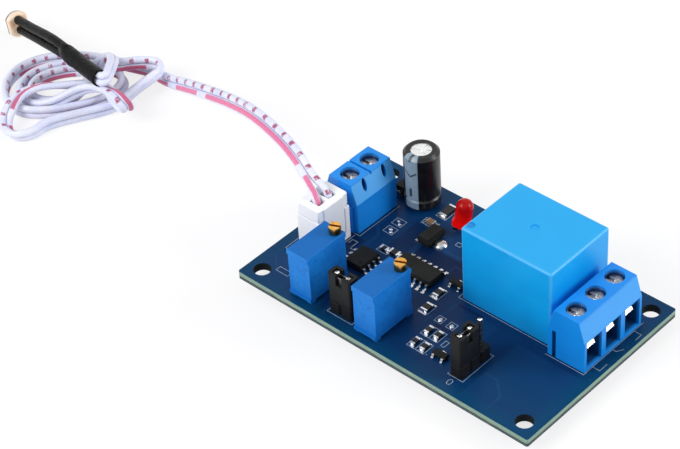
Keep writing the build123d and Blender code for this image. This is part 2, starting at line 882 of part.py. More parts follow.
def jumper_cap():
    """Moulded cap: two square wells joined above, open at the top, with a window in each side."""
    half_x = jumper_width / 2
    half_y = jumper_length / 2
    low = header_base_height + seat_play
    high = low + jumper_height
    cap = block(-half_x, half_x, -half_y, half_y, low, high)
    cap = chamfer(cap.edges().filter_by(Axis.Z), jumper_corner)
    well = (header_pin_size + 2 * running_play) / 2 + jumper_clip_thickness + seat_play
    for v in jumper_holes():
        cap -= block(-well, well, v - well, v + well, low - 1, high + 1)
    bridge = header_pitch / 2
    cap -= block(-well, well, -bridge, bridge, high - jumper_window_height, high + 1)
    window = jumper_window / 2
    cap -= block(-half_x - 1, half_x + 1, -window, window, high - jumper_window_height, high + 1)
    return cap


def jumper_clip():
    """The folded contact inside: a leaf on each side of both pins, joined across the top window."""
    inner = header_pin_size / 2 + running_play
    outer = inner + jumper_clip_thickness
    low = header_base_height + clip_lift
    high = low + jumper_clip_height
    parts = []
    for v in jumper_holes():
        half = header_pin_size / 2
        parts.append(block(inner, outer, v - half, v + half, low, high))
        parts.append(block(-outer, -inner, v - half, v + half, low, high))
    bridge_low = header_base_height + seat_play + jumper_height - jumper_window_height
    reach = header_pitch / 2 + header_pin_size / 2
    bridges = [
        block(s, s + jumper_clip_thickness, -reach, reach, bridge_low + seat_play, high)
        for s in (inner, -outer)
    ]
    return group([parts[0] + parts[2] + bridges[0], parts[1] + parts[3] + bridges[1]])


def mode_place(part):
    return Pos(mode_header_x, mode_header_y, board_top) * Rot(0, 0, 90) * part


def output_header_place(part):
    return Pos(output_header_x, output_header_y, board_top) * part


def output_jumper_place(part):
    """The cap bridges the two pins nearest the board's long edge."""
    return output_header_place(Pos(0, -header_pitch / 2, 0) * part)


# Sensor connector


def socket_place(part):
    return Pos(socket_x, socket_y, board_top) * part


def sensor_socket():
    half_x = socket_depth / 2
    half_y = socket_length / 2
    shroud = block(-half_x, half_x, -half_y, half_y, 0, socket_height)
    shroud = fillet(shroud.edges().filter_by(Axis.Z), socket_corner_radius)
    inner_x = half_x - socket_wall
    inner_y = half_y - socket_wall
    shroud -= block(-inner_x, inner_x, -inner_y, inner_y, socket_floor, socket_height + 1)
    gap = half_y - socket_post
    shroud -= block(0, half_x + 1, -gap, gap, socket_floor, socket_height + 1)
    notch = plug_key_width / 2
    shroud -= block(-half_x - 1, 0, -notch, notch, socket_height - socket_notch_depth,
                    socket_height + 1)
    hole = socket_pin_size / 2
    for v in socket_pins:
        shroud -= block(-hole, hole, v - hole, v + hole, -1, socket_floor + 1)
    return socket_place(shroud)


def socket_pin_set():
    half = socket_pin_size / 2
    tip = -board_thickness - pin_drop
    pins = []
    for v in socket_pins:
        pin = block(-half, half, v - half, v + half, tip, socket_pin_rise)
        ends = pin.faces().sort_by(Axis.Z)[0].edges() + pin.faces().sort_by(Axis.Z)[-1].edges()
        pins.append(chamfer(ends, pin_tip_chamfer))
    return socket_place(group(pins))


def sensor_plug():
    """The plug: a body in the shroud, a face panel in the shroud's open side and a gripped top."""
    inner_x = socket_depth / 2 - socket_wall - seat_play
    inner_y = socket_length / 2 - socket_wall - seat_play
    face_y = socket_length / 2 - socket_post - seat_play
    face_x = socket_depth / 2 - plug_face_setback
    low = socket_floor + plug_floor_gap
    body = block(-inner_x, inner_x, -inner_y, inner_y, low, plug_top)
    body += block(0, face_x, -face_y, face_y, low, plug_top)
    flange_x = socket_depth / 2 - plug_flange_overhang
    flange_y = socket_length / 2
    flange = block(-flange_x, flange_x, -flange_y, flange_y, plug_flange_start, plug_top)
    flange = fillet(flange.edges().filter_by(Axis.Z), plug_corner_radius)
    body += flange
    bore = socket_pin_size / 2 + running_play
    cuts = []
    for v in socket_pins:
        cuts.append(block(-plug_cavity_x / 2, plug_cavity_x / 2 + plug_cavity_slope, v - plug_cavity_y / 2,
                          v + plug_cavity_y / 2, plug_top - plug_cavity_depth, plug_top + 1))
        cuts.append(block(-bore, bore, v - bore, v + bore, low - 1, plug_top))
    return socket_place(body - cuts)


def plug_crimps():
    """The crimped barrels that hold the wires, seen in the plug's wire holes."""
    floor = plug_top - plug_cavity_depth
    half = crimp_width / 2
    parts = []
    for v in socket_pins:
        barrel = block(-half, half, v - half, v + half, floor, floor + crimp_length)
        inner = half - crimp_wall
        barrel -= block(-inner, half + 1, v - inner, v + inner, floor + crimp_wall, floor + 2 * crimp_length)
        bore = socket_pin_size / 2 + running_play
        barrel -= block(-bore, bore, v - bore, v + bore, floor - 1, floor + 1)
        parts.append(barrel)
    return socket_place(group(parts))


# Capacitor


def capacitor_place(part):
    return Pos(capacitor_x, capacitor_y, board_top + capacitor_lift) * part


def capacitor_outline(extra):
    """The can's wall from its foot to its shoulder, pushed out by extra: (radius, height) points."""
    radius = capacitor_diameter / 2 + extra
    neck = radius - capacitor_neck_depth
    middle = capacitor_neck_height
    half = capacitor_neck_depth * capacitor_neck_share
    shoulder = capacitor_height - capacitor_shoulder
    return [(radius, middle - half), (neck, middle), (radius, middle + half), (radius, shoulder)]


def capacitor_can():
    """The drawn can, crimped in over its bung, with its vent scored in the top."""
    radius = capacitor_diameter / 2
    inner = radius - capacitor_wall
    top = capacitor_height
    can = turned(
        [(0, capacitor_bung_height), (inner, capacitor_bung_height), (inner, 0.0), (radius, 0.0)]
        + capacitor_outline(0.0) + [(radius - capacitor_shoulder, top), (0, top)]
    )
    reach = radius * capacitor_vent_share
    half = capacitor_vent_width / 2
    low = top - capacitor_vent_depth
    vent = block(-reach, reach, -half, half, low, top + 1)
    for angle in (capacitor_vent_fork, -capacitor_vent_fork):
        arm = block(0, reach, -half, half, low, top + 1)
        vent += Rot(0, 0, angle) * arm
    return capacitor_place(can - Rot(0, 0, capacitor_vent_turn) * vent)


def capacitor_bung():
    diameter = capacitor_diameter - 2 * capacitor_wall - 2 * seat_play
    bung = flat_sided_rod(diameter, 2 * seat_play, capacitor_bung_height - seat_play)
    for u in capacitor_leads:
        bung -= flat_sided_rod(capacitor_lead_diameter, -1, capacitor_bung_height + 1, u)
    return capacitor_place(bung)


def capacitor_sleeve():
    """Shrunk film over the can, from under its foot to its top edge."""
    wall = capacitor_sleeve_wall
    rim = capacitor_diameter / 2 - capacitor_shoulder
    lip = capacitor_diameter / 2 - capacitor_lip
    sides = []
    for extra in (sleeve_gap, sleeve_gap + wall):
        side = capacitor_outline(extra)
        top = capacitor_height + extra
        sides.append([(side[0][0], 0.0)] + side + [(rim, top), (lip, top)])
    return capacitor_place(turned(sides[0] + sides[1][::-1]))


def capacitor_lead_pair():
    tip = -board_thickness - pin_drop - capacitor_lift
    top = capacitor_bung_height - seat_play
    return capacitor_place(group([flat_sided_rod(capacitor_lead_diameter, tip, top, u) for u in capacitor_leads]))


# Lamp: the lens leans towards +Y about the top of its straight leads


def lamp_place(part):
    return Pos(lamp_x, lamp_y, board_top) * part


def lamp_lens():
    radius = lamp_diameter / 2
    flange = lamp_flange_diameter / 2
    shoulder = lamp_length - radius
    outline = Line((0, 0, 0), (flange, 0, 0)) + Line((flange, 0, 0), (flange, 0, lamp_flange_height))
    outline += Line((flange, 0, lamp_flange_height), (radius, 0, lamp_flange_height))
    outline += Line((radius, 0, lamp_flange_height), (radius, 0, shoulder))
    middle = (radius * math.cos(math.pi / 4), 0, shoulder + radius * math.sin(math.pi / 4))
    outline += ThreePointArc((radius, 0, shoulder), middle, (0, 0, lamp_length))
    outline += Line((0, 0, lamp_length), (0, 0, 0))
    lens = revolve(make_face(outline), Axis.Z)
    lens -= block(-flange, flange, -flange - 1, -radius - lamp_flat_margin, -1, lamp_flange_height + 1)
    lens = Rot(-lamp_lean, 0, 0) * Pos(0, 0, lamp_lift - lamp_lead_bend) * lens
    return lamp_place(Pos(0, 0, lamp_lead_bend) * lens)


def lamp_lead_pair():
    """Two square leads, bent where the lamp leans."""
    lean = math.radians(lamp_lean)
    run = lamp_lift - lamp_lead_bend
    path = [
        (0, -board_thickness - pin_drop),
        (0, lamp_lead_bend),
        (run * math.sin(lean), lamp_lead_bend + run * math.cos(lean)),
    ]
    lead = Rot(0, 0, 90) * strip(path, lamp_lead_size, lamp_lead_size)
    return lamp_place(group([Pos(u, 0, 0) * lead for u in lamp_leads]))


# Surface-mounted parts


def package(length, width, height):
    """A moulded package with drafted sides, parted where its leads leave."""
    low = package_gap
    parting = low + (height - low) * 0.5
    slim = chip_draft
    middle = rectangle_corners(length, width, parting)
    ends = [rectangle_corners(length - 2 * slim, width - 2 * slim, z) for z in (low, height)]
    return frustum(ends[0], middle) + frustum(middle, ends[1])


def gull_lead(edge, level, tip, foot):
    """One lead in the XZ plane: out of the body at edge and level, down, and out along the board."""
    middle = lead_thickness / 2
    knee = edge + (tip - foot - edge) * 0.5
    path = [(edge, level), (knee, level), (tip - foot, middle), (tip, middle)]
    return strip(path, lead_thickness, lead_width)


def comparator_place(part):
    return Pos(comparator_x, comparator_y, board_top) * Rot(0, 0, 90) * part


def logic_place(part):
    return Pos(logic_x, logic_y, board_top) * part


def chip_body(length):
    body = package(length, chip_body_width, chip_body_height)
    mark_x = chip_mark_inset - length / 2
    mark_y = chip_mark_inset - chip_body_width / 2
    floor = chip_body_height - chip_mark_depth
    return body - flat_sided_bore(chip_mark_diameter, floor, chip_body_height + 1, mark_x, mark_y)


def chip_leads(count):
    """Leads along both long sides of a chip whose length runs along X."""
    level = package_gap + (chip_body_height - package_gap) * 0.5
    lead = gull_lead(chip_body_width / 2, level, chip_lead_span / 2, chip_lead_foot)
    leads = []
    for u in row(count, lead_pitch):
        leads.append(Pos(u, 0, 0) * Rot(0, 0, 90) * lead)
        leads.append(Pos(u, 0, 0) * Rot(0, 0, -90) * lead)
    return group(leads)


def transistor_bodies():
    body = package(transistor_length, transistor_width, transistor_height)
    return group([Pos(x, y, board_top) * body for x, y in transistor_places])


def transistor_leads():
    level = package_gap + (transistor_height - package_gap) * 0.5
    lead = gull_lead(transistor_width / 2, level, transistor_span / 2, transistor_lead_foot)
    leads = []
    for x, y in transistor_places:
        for u in (-transistor_pitch / 2, transistor_pitch / 2):
            leads.append(Pos(x + u, y, board_top) * Rot(0, 0, -90) * lead)
        leads.append(Pos(x, y, board_top) * Rot(0, 0, 90) * lead)
    return group(leads)


def regulator_place(part):
    return Pos(regulator_x, regulator_y, board_top) * part


def regulator_body():
    flat = regulator_height - lead_thickness
    body = Pos(0, 0, lead_thickness) * package(regulator_width, regulator_length, flat)
    return regulator_place(body)


def regulator_leads():
    """Three flat leads on one side and the wide tab on the other, flush under the body."""
    half = regulator_width / 2
    parts = []
    for v in row(3, regulator_lead_pitch):
        reach = lead_width / 2
        parts.append(block(-half - regulator_lead_reach, -half + regulator_lead_sink, v - reach, v + reach,
                           0, lead_thickness))
    tab = regulator_tab_width / 2
    parts.append(block(half - regulator_tab_sink, half + regulator_lead_reach, -tab, tab,
                       0, lead_thickness))
    return regulator_place(group(parts))


def diode_body():
    body = package(diode_width, diode_length, diode_height)
    return Pos(diode_x, diode_y, board_top) * body


def diode_tabs():
    """Flat leads folded down each end and under the body."""
    level = package_gap + (diode_height - package_gap) * 0.5
    half = diode_length / 2
    low = package_gap / 2
    knee = half + diode_tab_gap
    path = [(half, level), (knee, level), (knee, low), (half - diode_tab_reach, low)]
    tab = strip(path, diode_tab_thickness, diode_width * diode_tab_share)
    place = Pos(diode_x, diode_y, board_top)
    return group([place * Rot(0, 0, angle) * tab for angle in (90, -90)])


def chip_part_turn(direction):
    return Rot(0, 0, 90) if direction == "y" else Rot(0, 0, 0)


def chip_cores(places, height):
    """The ceramic middles of chip parts, between their end caps."""
    parts = []
    for x, y, direction, length, width in places:
        core = Pos(0, 0, height / 2) * Box(length - 2 * chip_end_length, width - chip_core_sink,
                                            height - chip_core_sink)
        parts.append(Pos(x, y, board_top) * chip_part_turn(direction) * core)
    return group(parts)


def chip_ends():
    """The solderable end caps of every chip part."""
    parts = []
    sets = ((chip_resistor_places, chip_resistor_height), (chip_capacitor_places, chip_capacitor_height))
    for places, height in sets:
        for x, y, direction, length, width in places:
            for side in (-1, 1):
                middle = side * (length - chip_end_length) / 2
                end = Pos(middle, 0, height / 2) * Box(chip_end_length, width, height)
                parts.append(Pos(x, y, board_top) * chip_part_turn(direction) * end)
    return group(parts)


# Photocell lead


def cord_points():
    """The cord's route from the plug to its hank, chosen by hand."""
    return [
        (-25.9, -4.2, 14.1),
        (-29.2, -3.2, 14.7),
        (-34.7, -1.5, 17.3),
        (-41.7, 0.6, 17.5),
        (-49.4, 2.9, 16.4),
        (-57.5, 5.3, 13.5),
        (-66.6, 8.0, 9.6),
        (-75.7, 10.8, 5.3),
        (-83.8, 13.2, 1.3),
    ]


def cord_radii(points):
    """As large an arc at each corner as its two runs allow."""
    corners = [Vector(*p) for p in points]
    radii = []
    for before, here, after in zip(corners, corners[1:], corners[2:]):
        run = min((here - before).length, (after - here).length)
        turn = math.radians((here - before).get_angle(after - here))
        radii.append(cord_bend_share * run / math.tan(turn / 2))
    return radii


def sensor_cord():
    points = cord_points()
    radii = cord_radii(points)
    print("cord radii", [round(r, 1) for r in radii])
    path = FilletPolyline(*points, radius=radii)
    heading = math.atan2(points[1][1] - points[0][1], points[1][0] - points[0][0])
    start = Plane(origin=path @ 0, x_dir=(-math.sin(heading), math.cos(heading), 0), z_dir=path % 0)
    outline = Rectangle(cord_width, cord_thickness)
    outline = chamfer(outline.vertices(), cord_edge)
    tube = sweep(start * outline, path=path)
    print("cord length", round(path.length, 1), "volume ratio",
          round(tube.volume / (outline.area * path.length), 4))
    return tube


def stem_plane():
    start = Vector(*stem_start)
    end = Vector(*stem_end)
    return Plane(origin=start, x_dir=(end - start).cross(Vector(0, 0, 1)), z_dir=end - start)


def stem_length():
    return (Vector(*stem_end) - Vector(*stem_start)).length


def splice_sleeve():
    """The wide sleeve over both joints."""
    return stem_plane() * Pos(0, 0, splice_length / 2) * Cylinder(splice_diameter / 2, splice_length)


def leg_sleeves():
    """A thin sleeve on each of the photocell's legs."""
    low = splice_length
    high = stem_length()
    parts = []
    for side in (-1, 1):
        sleeve = rod(leg_sleeve_diameter, low, high, side * leg_spacing / 2)
        parts.append(stem_plane() * (sleeve - flat_sided_rod(leg_diameter, low - 1, high + 1,
                                                             side * leg_spacing / 2)))
    return group(parts)


def photocell_legs():
    low = splice_length
    high = stem_length()
    legs = [flat_sided_rod(leg_diameter, low, high, side * leg_spacing / 2) for side in (-1, 1)]
    return group([stem_plane() * leg for leg in legs])


def photocell():
    """A ceramic disc with two flats, its light face away from the legs."""
    low = stem_length()
    high = low + photocell_thickness
    disc = rod(photocell_diameter, low, high)
    half = photocell_flat / 2
    disc = disc & block(-photocell_diameter, photocell_diameter, -half, half, low, high)
    return stem_plane() * disc


def hank_lobe(x, y, heading, length, width, height):
    """An upright oval with flat sides, its top edge sloped off."""
    share = 1 - hank_edge_share
    foot = oval_corners(length, width, 0.0, oval_sides)
    edge = oval_corners(length, width, height - hank_edge_height, oval_sides)
    top = oval_corners(length * share, width * share, height, oval_sides)
    return Pos(x, y, 0) * Rot(0, 0, heading) * (frustum(foot, edge) + frustum(edge, top))


def sensor_cord_hank(cord):
    """The outer shape of the loosely wound lead: its coil, a loop, a fold and a tail."""
    hank = hank_lobe(coil_x, coil_y, coil_heading, coil_length, coil_width, coil_height)
    for lobe in hank_lobes:
        hank += hank_lobe(*lobe)
    openings = (
        (coil_x, coil_y, coil_heading, coil_opening_length, coil_opening_width),
        (*hank_lobes[0][:3], front_loop_opening_length, front_loop_opening_width),
    )
    for x, y, heading, length, width in openings:
        hole = frustum(oval_corners(length, width, -1.0, oval_sides),
                       oval_corners(length, width, 2 * coil_height, oval_sides))
        hank -= Pos(x, y, 0) * Rot(0, 0, heading) * hole
    trough = Cylinder((leg_spacing + leg_sleeve_diameter) / 2 + seat_play, 2 * stem_length())
    return hank - stem_plane() * Pos(0, 0, stem_length() * hank_trough_share) * trough - cord


def all_nodes():
    cord = sensor_cord()
    nodes = {
        "circuit_board": circuit_board(),
        "solder_joints": solder_joints(),
        "relay_case": relay_case(),
        "relay_base": relay_base(),
        "relay_yoke": relay_yoke(),
        "relay_core": relay_core(),
        "relay_bobbin": relay_bobbin(),
        "relay_winding": relay_winding(),
        "relay_armature": relay_armature(),
        "relay_contact_spring": relay_contact_spring(),
        "relay_contacts": relay_contacts(),
        "output_terminal": output_place(terminal_housing(output_poles, False, False)),
        "output_terminal_contacts": output_place(terminal_contacts(output_poles)),
        "input_terminal": input_place(terminal_housing(input_poles, True, True)),
        "input_terminal_contacts": input_place(terminal_contacts(input_poles)),
        "sensitivity_trimmer": trimmer_place(sensitivity_trimmer_x, trimmer_body()),
        "sensitivity_screw": trimmer_place(sensitivity_trimmer_x, trimmer_screw()),
        "delay_trimmer": trimmer_place(delay_trimmer_x, trimmer_body()),
        "delay_screw": trimmer_place(delay_trimmer_x, trimmer_screw()),
        "mode_header": mode_place(header_base(mode_pin_count)),
        "mode_jumper": mode_place(jumper_cap()),
        "mode_jumper_clip": mode_place(jumper_clip()),
        "output_header": output_header_place(header_base(output_pin_count)),
        "output_jumper": output_jumper_place(jumper_cap()),
        "output_jumper_clip": output_jumper_place(jumper_clip()),
        "header_pins": group([mode_place(header_pin(v)) for v in mode_pins]
                             + [output_header_place(header_pin(v)) for v in output_pins]
                             + [socket_pin_set()]),
        "sensor_socket": sensor_socket(),
        "sensor_plug": sensor_plug(),
        "plug_crimps": plug_crimps(),
        "capacitor_can": capacitor_can(),
        "capacitor_bung": capacitor_bung(),
        "capacitor_sleeve": capacitor_sleeve(),
        "lamp_lens": lamp_lens(),
        "component_leads": group([capacitor_lead_pair(), lamp_lead_pair()]
                                 + [trimmer_place(x, pin) for x in (sensitivity_trimmer_x, delay_trimmer_x)
                                    for pin in trimmer_pin_set()]),
        "comparator_chip": comparator_place(chip_body(comparator_length)),
        "logic_chip": logic_place(chip_body(logic_length)),
        "chip_leads": group([comparator_place(chip_leads(comparator_leads_per_side)),
                             logic_place(chip_leads(logic_leads_per_side)), transistor_leads(),
                             regulator_leads(), diode_tabs()]),
        "transistors": transistor_bodies(),
        "regulator": regulator_body(),
        "diode": diode_body(),
        "chip_resistors": chip_cores(chip_resistor_places, chip_resistor_height),
        "chip_capacitors": chip_cores(chip_capacitor_places, chip_capacitor_height),
        "chip_ends": chip_ends(),
        "sensor_cord": cord,
        "sensor_cord_hank": sensor_cord_hank(cord),
        "splice_sleeve": splice_sleeve(),
        "leg_sleeves": leg_sleeves(),
        "photocell_legs": photocell_legs(),
        "photocell": photocell(),
    }
    for side, place, poles in (("output", output_place, output_poles), ("input", input_place, input_poles)):
        for number, v in enumerate(poles, 1):
            nodes[f"{side}_screw_{number}"] = place(Pos(0, v, 0) * terminal_screw())
            nodes[f"{side}_clamp_{number}"] = place(Pos(0, v, 0) * terminal_clamp())
    return nodes


os.makedirs("parts", exist_ok=True)
for name, part in all_nodes().items():
    export_step(group([part]), f"parts/{name}.step")
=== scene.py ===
# Light sensor relay module: its looks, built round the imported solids.
# Places and sizes are millimetres in the module's own frame; makePiece makes them metres.
import math
import bpy
from mathutils import Matrix, Vector


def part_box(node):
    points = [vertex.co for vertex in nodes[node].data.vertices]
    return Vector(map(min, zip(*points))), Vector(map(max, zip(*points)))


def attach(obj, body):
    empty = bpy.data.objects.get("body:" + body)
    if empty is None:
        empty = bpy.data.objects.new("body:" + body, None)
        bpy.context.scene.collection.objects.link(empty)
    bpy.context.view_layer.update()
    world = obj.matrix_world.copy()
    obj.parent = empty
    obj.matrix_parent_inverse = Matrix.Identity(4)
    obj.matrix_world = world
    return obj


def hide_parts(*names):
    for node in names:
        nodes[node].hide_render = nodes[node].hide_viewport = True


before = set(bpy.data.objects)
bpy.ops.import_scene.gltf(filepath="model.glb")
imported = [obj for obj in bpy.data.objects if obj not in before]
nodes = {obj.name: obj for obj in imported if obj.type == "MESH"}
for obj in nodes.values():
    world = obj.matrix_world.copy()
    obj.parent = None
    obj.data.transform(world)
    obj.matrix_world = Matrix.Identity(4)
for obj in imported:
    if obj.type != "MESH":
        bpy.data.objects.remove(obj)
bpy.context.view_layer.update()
print("frame loaded with", len(nodes), "nodes")

boardTop = 3.6
boardBottom = 2.0


def tint(red, green, blue):  # a screen colour, 0 to 255, as the linear colour that shaders use
    return tuple(((c / 255 + 0.055) / 1.055) ** 2.4 if c > 10 else c / 3295 for c in (red, green, blue))


def both(operation):  # an operator on sockets, and its reflected form
    return (lambda wire, other: wire.join(operation, wire, other),
            lambda wire, other: wire.join(operation, other, wire))


class Wire:  # a node's output that takes part in plain arithmetic; | keeps the larger and & the smaller
    def __init__(self, paint, socket):
        self.paint = paint
        self.socket = socket

    def join(self, operation, first, second):
        return self.paint.node("Math", {"operation": operation}, {0: first, 1: second})

    __add__, __radd__ = both("ADD")
    __sub__, __rsub__ = both("SUBTRACT")
    __mul__, __rmul__ = both("MULTIPLY")
    __truediv__, __rtruediv__ = both("DIVIDE")
    __mod__, __rmod__ = both("FLOORED_MODULO")
    __or__, __ror__ = both("MAXIMUM")
    __and__, __rand__ = both("MINIMUM")

    def __abs__(self):
        return self.join("ABSOLUTE", self, 0.0)


class Paint:  # one material, mixed on its principled shader, or the nodes of a world
    def __init__(self, name, owner=None, **fixed):
        self.material = owner or bpy.data.materials.new(name)
        self.material.use_nodes = True
        self.tree = self.material.node_tree
        self.shader = self.tree.nodes.get("Principled BSDF")
        for socket, value in fixed.items():
            self.give(socket, value)

    def feed(self, socket, value):
        if isinstance(value, Wire):
            self.tree.links.new(value.socket, socket)
        elif isinstance(value, tuple) and len(value) == 3 and socket.type == "RGBA":
            socket.default_value = (*value, 1.0)
        else:
            socket.default_value = value

    def node(self, kind, settings=None, sockets=None, out=0):
        made = self.tree.nodes.new("ShaderNode" + kind)
        for key, value in (settings or {}).items():
            setattr(made, key, value)
        for key, value in (sockets or {}).items():
            self.feed(made.inputs[key], value)
        return Wire(self, made.outputs[out])

    def give(self, socket, value):  # socket names without their spaces: baseColor, specularIorLevel
        spaced = "".join(" " + c if c.isupper() else c for c in socket).title().replace("Ior", "IOR")
        self.feed(self.shader.inputs[spaced], value)

    def place(self):  # where a point of the surface is, in millimetres
        spot = self.node("TexCoord", out="Object")
        return self.node("VectorMath", {"operation": "SCALE"}, {0: spot, "Scale": 1000.0})

    def axes(self, spot):
        split = self.node("SeparateXYZ", sockets={0: spot})
        return [Wire(self, outlet) for outlet in split.socket.node.outputs]

    def show(self, output, plain, shown):  # shown to the camera, its gloss and glass, plain to the rest
        rays = self.node("LightPath").socket.node.outputs
        kinds = ("Camera", "Glossy", "Transmission")
        straight, gloss, glass = (Wire(self, rays[f"Is {kind} Ray"]) for kind in kinds)
        mixed = self.node("MixShader", sockets={0: straight | gloss | glass, 1: plain, 2: shown})
        self.feed(self.tree.nodes[output].inputs["Surface"], mixed)

    def dot(self, first, second):
        return self.node("VectorMath", {"operation": "DOT_PRODUCT"}, {0: first, 1: second}, out="Value")

    def stretch(self, spot, along):  # scaled axes, for grain that runs one way
        return self.node("VectorMath", {"operation": "MULTIPLY"}, {0: spot, 1: along})

    def grain(self, spot, scale, detail=2.0, rough=0.5):
        sockets = {"Vector": spot, "Scale": scale, "Detail": detail, "Roughness": rough}
        return self.node("TexNoise", sockets=sockets)

    def step(self, value, low=0.35, high=0.65):  # 0 below low, 1 above high, or the reverse
        return self.node("MapRange", {"clamp": True}, {"Value": value, "From Min": low, "From Max": high})

    def patch(self, x, y, box, soft):  # 1 inside a rectangle
        x0, x1, y0, y1 = box
        across = self.step(x, x0 - soft, x0 + soft) * self.step(x, x1 + soft, x1 - soft)
        return across * self.step(y, y0 - soft, y0 + soft) * self.step(y, y1 + soft, y1 - soft)

    def shade(self, mask, first, second):  # the first colour where the mask is 0, the second where it is 1
        return self.node("Mix", {"data_type": "RGBA"}, {0: mask, 6: first, 7: second}, out=2)

    def tones(self, mask, pair):  # the same for two screen colours
        return self.shade(mask, *(tint(*colour) for colour in pair))

    def mottle(self, spot, pair, broad, fine, share, rough=0.6, low=0.36, high=0.64):  # uneven colour, specks
        speck = self.grain(spot, fine, 3.0, rough)
        mask = self.step(self.grain(spot, broad, 3.0) * share + speck * (1 - share), low, high)
        return self.tones(mask, pair), speck

    def done(self, colour, roughness, height, depth):  # the last step: colour, roughness and a fine bump
        self.give("baseColor", colour)
        self.give("roughness", roughness)
        self.give("normal", self.node("Bump", sockets={"Height": height, "Distance": depth * 0.001}))
        return self


def circle(count):  # cosine and sine of evenly spaced turns
    return [(math.cos(t), math.sin(t)) for t in (2 * math.pi * k / count for k in range(count))]


def ringTube(rings, points, faces, way=1, caps=(True, True)):  # a tube through rings of equally many points
    sides = len(rings[0])
    first = len(points)
    for ring in rings:
        points.extend(ring)
    last = len(points) - sides
    for start in range(first, last, sides):
        for k in range(sides):
            a, b = start + k, start + (k + 1) % sides
            faces.append((a, b, b + sides, a + sides)[::way])
    if caps[0]:
        faces.append(tuple(range(first, first + sides))[::-way])
    if caps[1]:
        faces.append(tuple(range(last, last + sides))[::way])


def makePiece(name, points, faces, paint, body="module", smooth=True):
    mesh = bpy.data.meshes.new(name)
    mesh.from_pydata([(x * 0.001, y * 0.001, z * 0.001) for x, y, z in points], [], faces)
    mesh.polygons.foreach_set("use_smooth", [smooth] * len(faces))
    mesh.materials.append(paint.material)
    mesh.validate()
    piece = bpy.data.objects.new(name, mesh)
    bpy.context.scene.collection.objects.link(piece)
    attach(piece, body)
    return piece


def dress(names, paint, edge=0.0):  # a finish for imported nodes, and softened edges
    for name in names:
        thing = nodes[name]
        for spot in thing.material_slots:
            spot.material = paint.material
        if not edge:
            continue
        for kind, settings in (
                ("WELD", {"merge_threshold": 0.000002}),
                ("DECIMATE", {"decimate_type": "DISSOLVE", "angle_limit": math.radians(1.0)}),
                ("BEVEL", {"width": edge * 0.001, "segments": 2, "limit_method": "ANGLE",
                           "angle_limit": math.radians(35.0), "miter_outer": "MITER_ARC"}),
                ("WEIGHTED_NORMAL", {"keep_sharp": True})):
            made = thing.modifiers.new(kind, kind)
            for key, value in settings.items():
                setattr(made, key, value)


def named(text):
    return [n for n in nodes if text in n]


# Camera, standing where the photograph's did
camera = {
    "aim": (-26.6, 0.5, 3.6),
    "distance": 400.66,
    "azimuth": 45.03,
    "elevation": 40.12,
    "roll": -3.94,
    "lens": 120.38,
}


def placeCamera():
    turn, rise, roll = (math.radians(camera[k]) for k in ("azimuth", "elevation", "roll"))
    back = Vector((math.sin(turn) * math.cos(rise), -math.cos(turn) * math.cos(rise), math.sin(rise)))
    right = Vector((math.cos(turn), math.sin(turn), 0.0))
    up = back.cross(right)
    right, up = math.cos(roll) * right + math.sin(roll) * up, math.cos(roll) * up - math.sin(roll) * right
    eye = (Vector(camera["aim"]) + back * camera["distance"]) * 0.001
    data = bpy.data.cameras.new("camera")
    data.lens = camera["lens"]
    data.sensor_width = 36.0
    data.clip_start, data.clip_end = 0.01, 50.0
    thing = bpy.data.objects.new("camera", data)
    thing.matrix_world = Matrix.Translation(eye) @ Matrix((right, up, back)).transposed().to_4x4()
    bpy.context.scene.collection.objects.link(thing)
    bpy.context.scene.camera = thing


placeCamera()
bpy.context.scene.view_settings.view_transform = "Standard"
print("camera placed")

# Studio: a pale floor, a pale world and two soft boxes
studio = {
    "worldLight": 0.50,
    "floorColour": (0.80, 0.80, 0.80),
    "seenColour": (0.26, 0.26, 0.27),
    "seenLift": 0.75,
    "floorSize": 4000.0,
    "lampsAim": (-20.0, 0.0, 0.0),
    "boxes": [  # place, size, watts
        ((-260.0, -620.0, 560.0), 420.0, 4.4),
        ((430.0, 330.0, 260.0), 260.0, 1.9),
    ],
}


def lightStudio():
    world = bpy.data.worlds.new("studio")
    bpy.context.scene.world = world
    paint = Paint("studio", world)
    sky = paint.tree.nodes["Background"]
    paint.feed(sky.inputs["Color"], (1.0, 1.0, 1.0))
    paint.feed(sky.inputs["Strength"], studio["worldLight"])
    white = paint.node("Background", sockets={"Color": (1.0, 1.0, 1.0)})
    paint.show("World Output", Wire(paint, sky.outputs[0]), white)
    for i, (spot, size, watts) in enumerate(studio["boxes"]):
        data = bpy.data.lights.new(f"softBox{i}", "AREA")
        data.energy = watts
        data.size = size * 0.001
        lamp = bpy.data.objects.new(f"softBox{i}", data)
        lamp.location = Vector(spot) * 0.001
        aim = Vector(studio["lampsAim"]) * 0.001 - lamp.location
        lamp.rotation_mode = "QUATERNION"
        lamp.rotation_quaternion = aim.to_track_quat("-Z", "Y")
        bpy.context.scene.collection.objects.link(lamp)


def layFloor():
    paint = Paint("studioFloor", roughness=0.9, baseColor=studio["floorColour"])
    glow = paint.node("Emission", sockets={"Color": (1.0, 1.0, 1.0), "Strength": studio["seenLift"]})
    matte = paint.node("BsdfDiffuse", sockets={"Color": studio["seenColour"]})
    shown = paint.node("AddShader", sockets={0: matte, 1: glow})
    paint.show("Material Output", Wire(paint, paint.shader.outputs[0]), shown)
    half = studio["floorSize"] / 2 * 0.001
    mesh = bpy.data.meshes.new("studioFloor")
    corners = [(x * half, y * half, 0) for x, y in ((-1, -1), (1, -1), (1, 1), (-1, 1))]
    mesh.from_pydata(corners, [], [(0, 1, 2, 3)])
    mesh.materials.append(paint.material)
    floor = bpy.data.objects.new("studioFloor", mesh)
    bpy.context.scene.collection.objects.link(floor)


lightStudio()
layFloor()
print("studio lit")

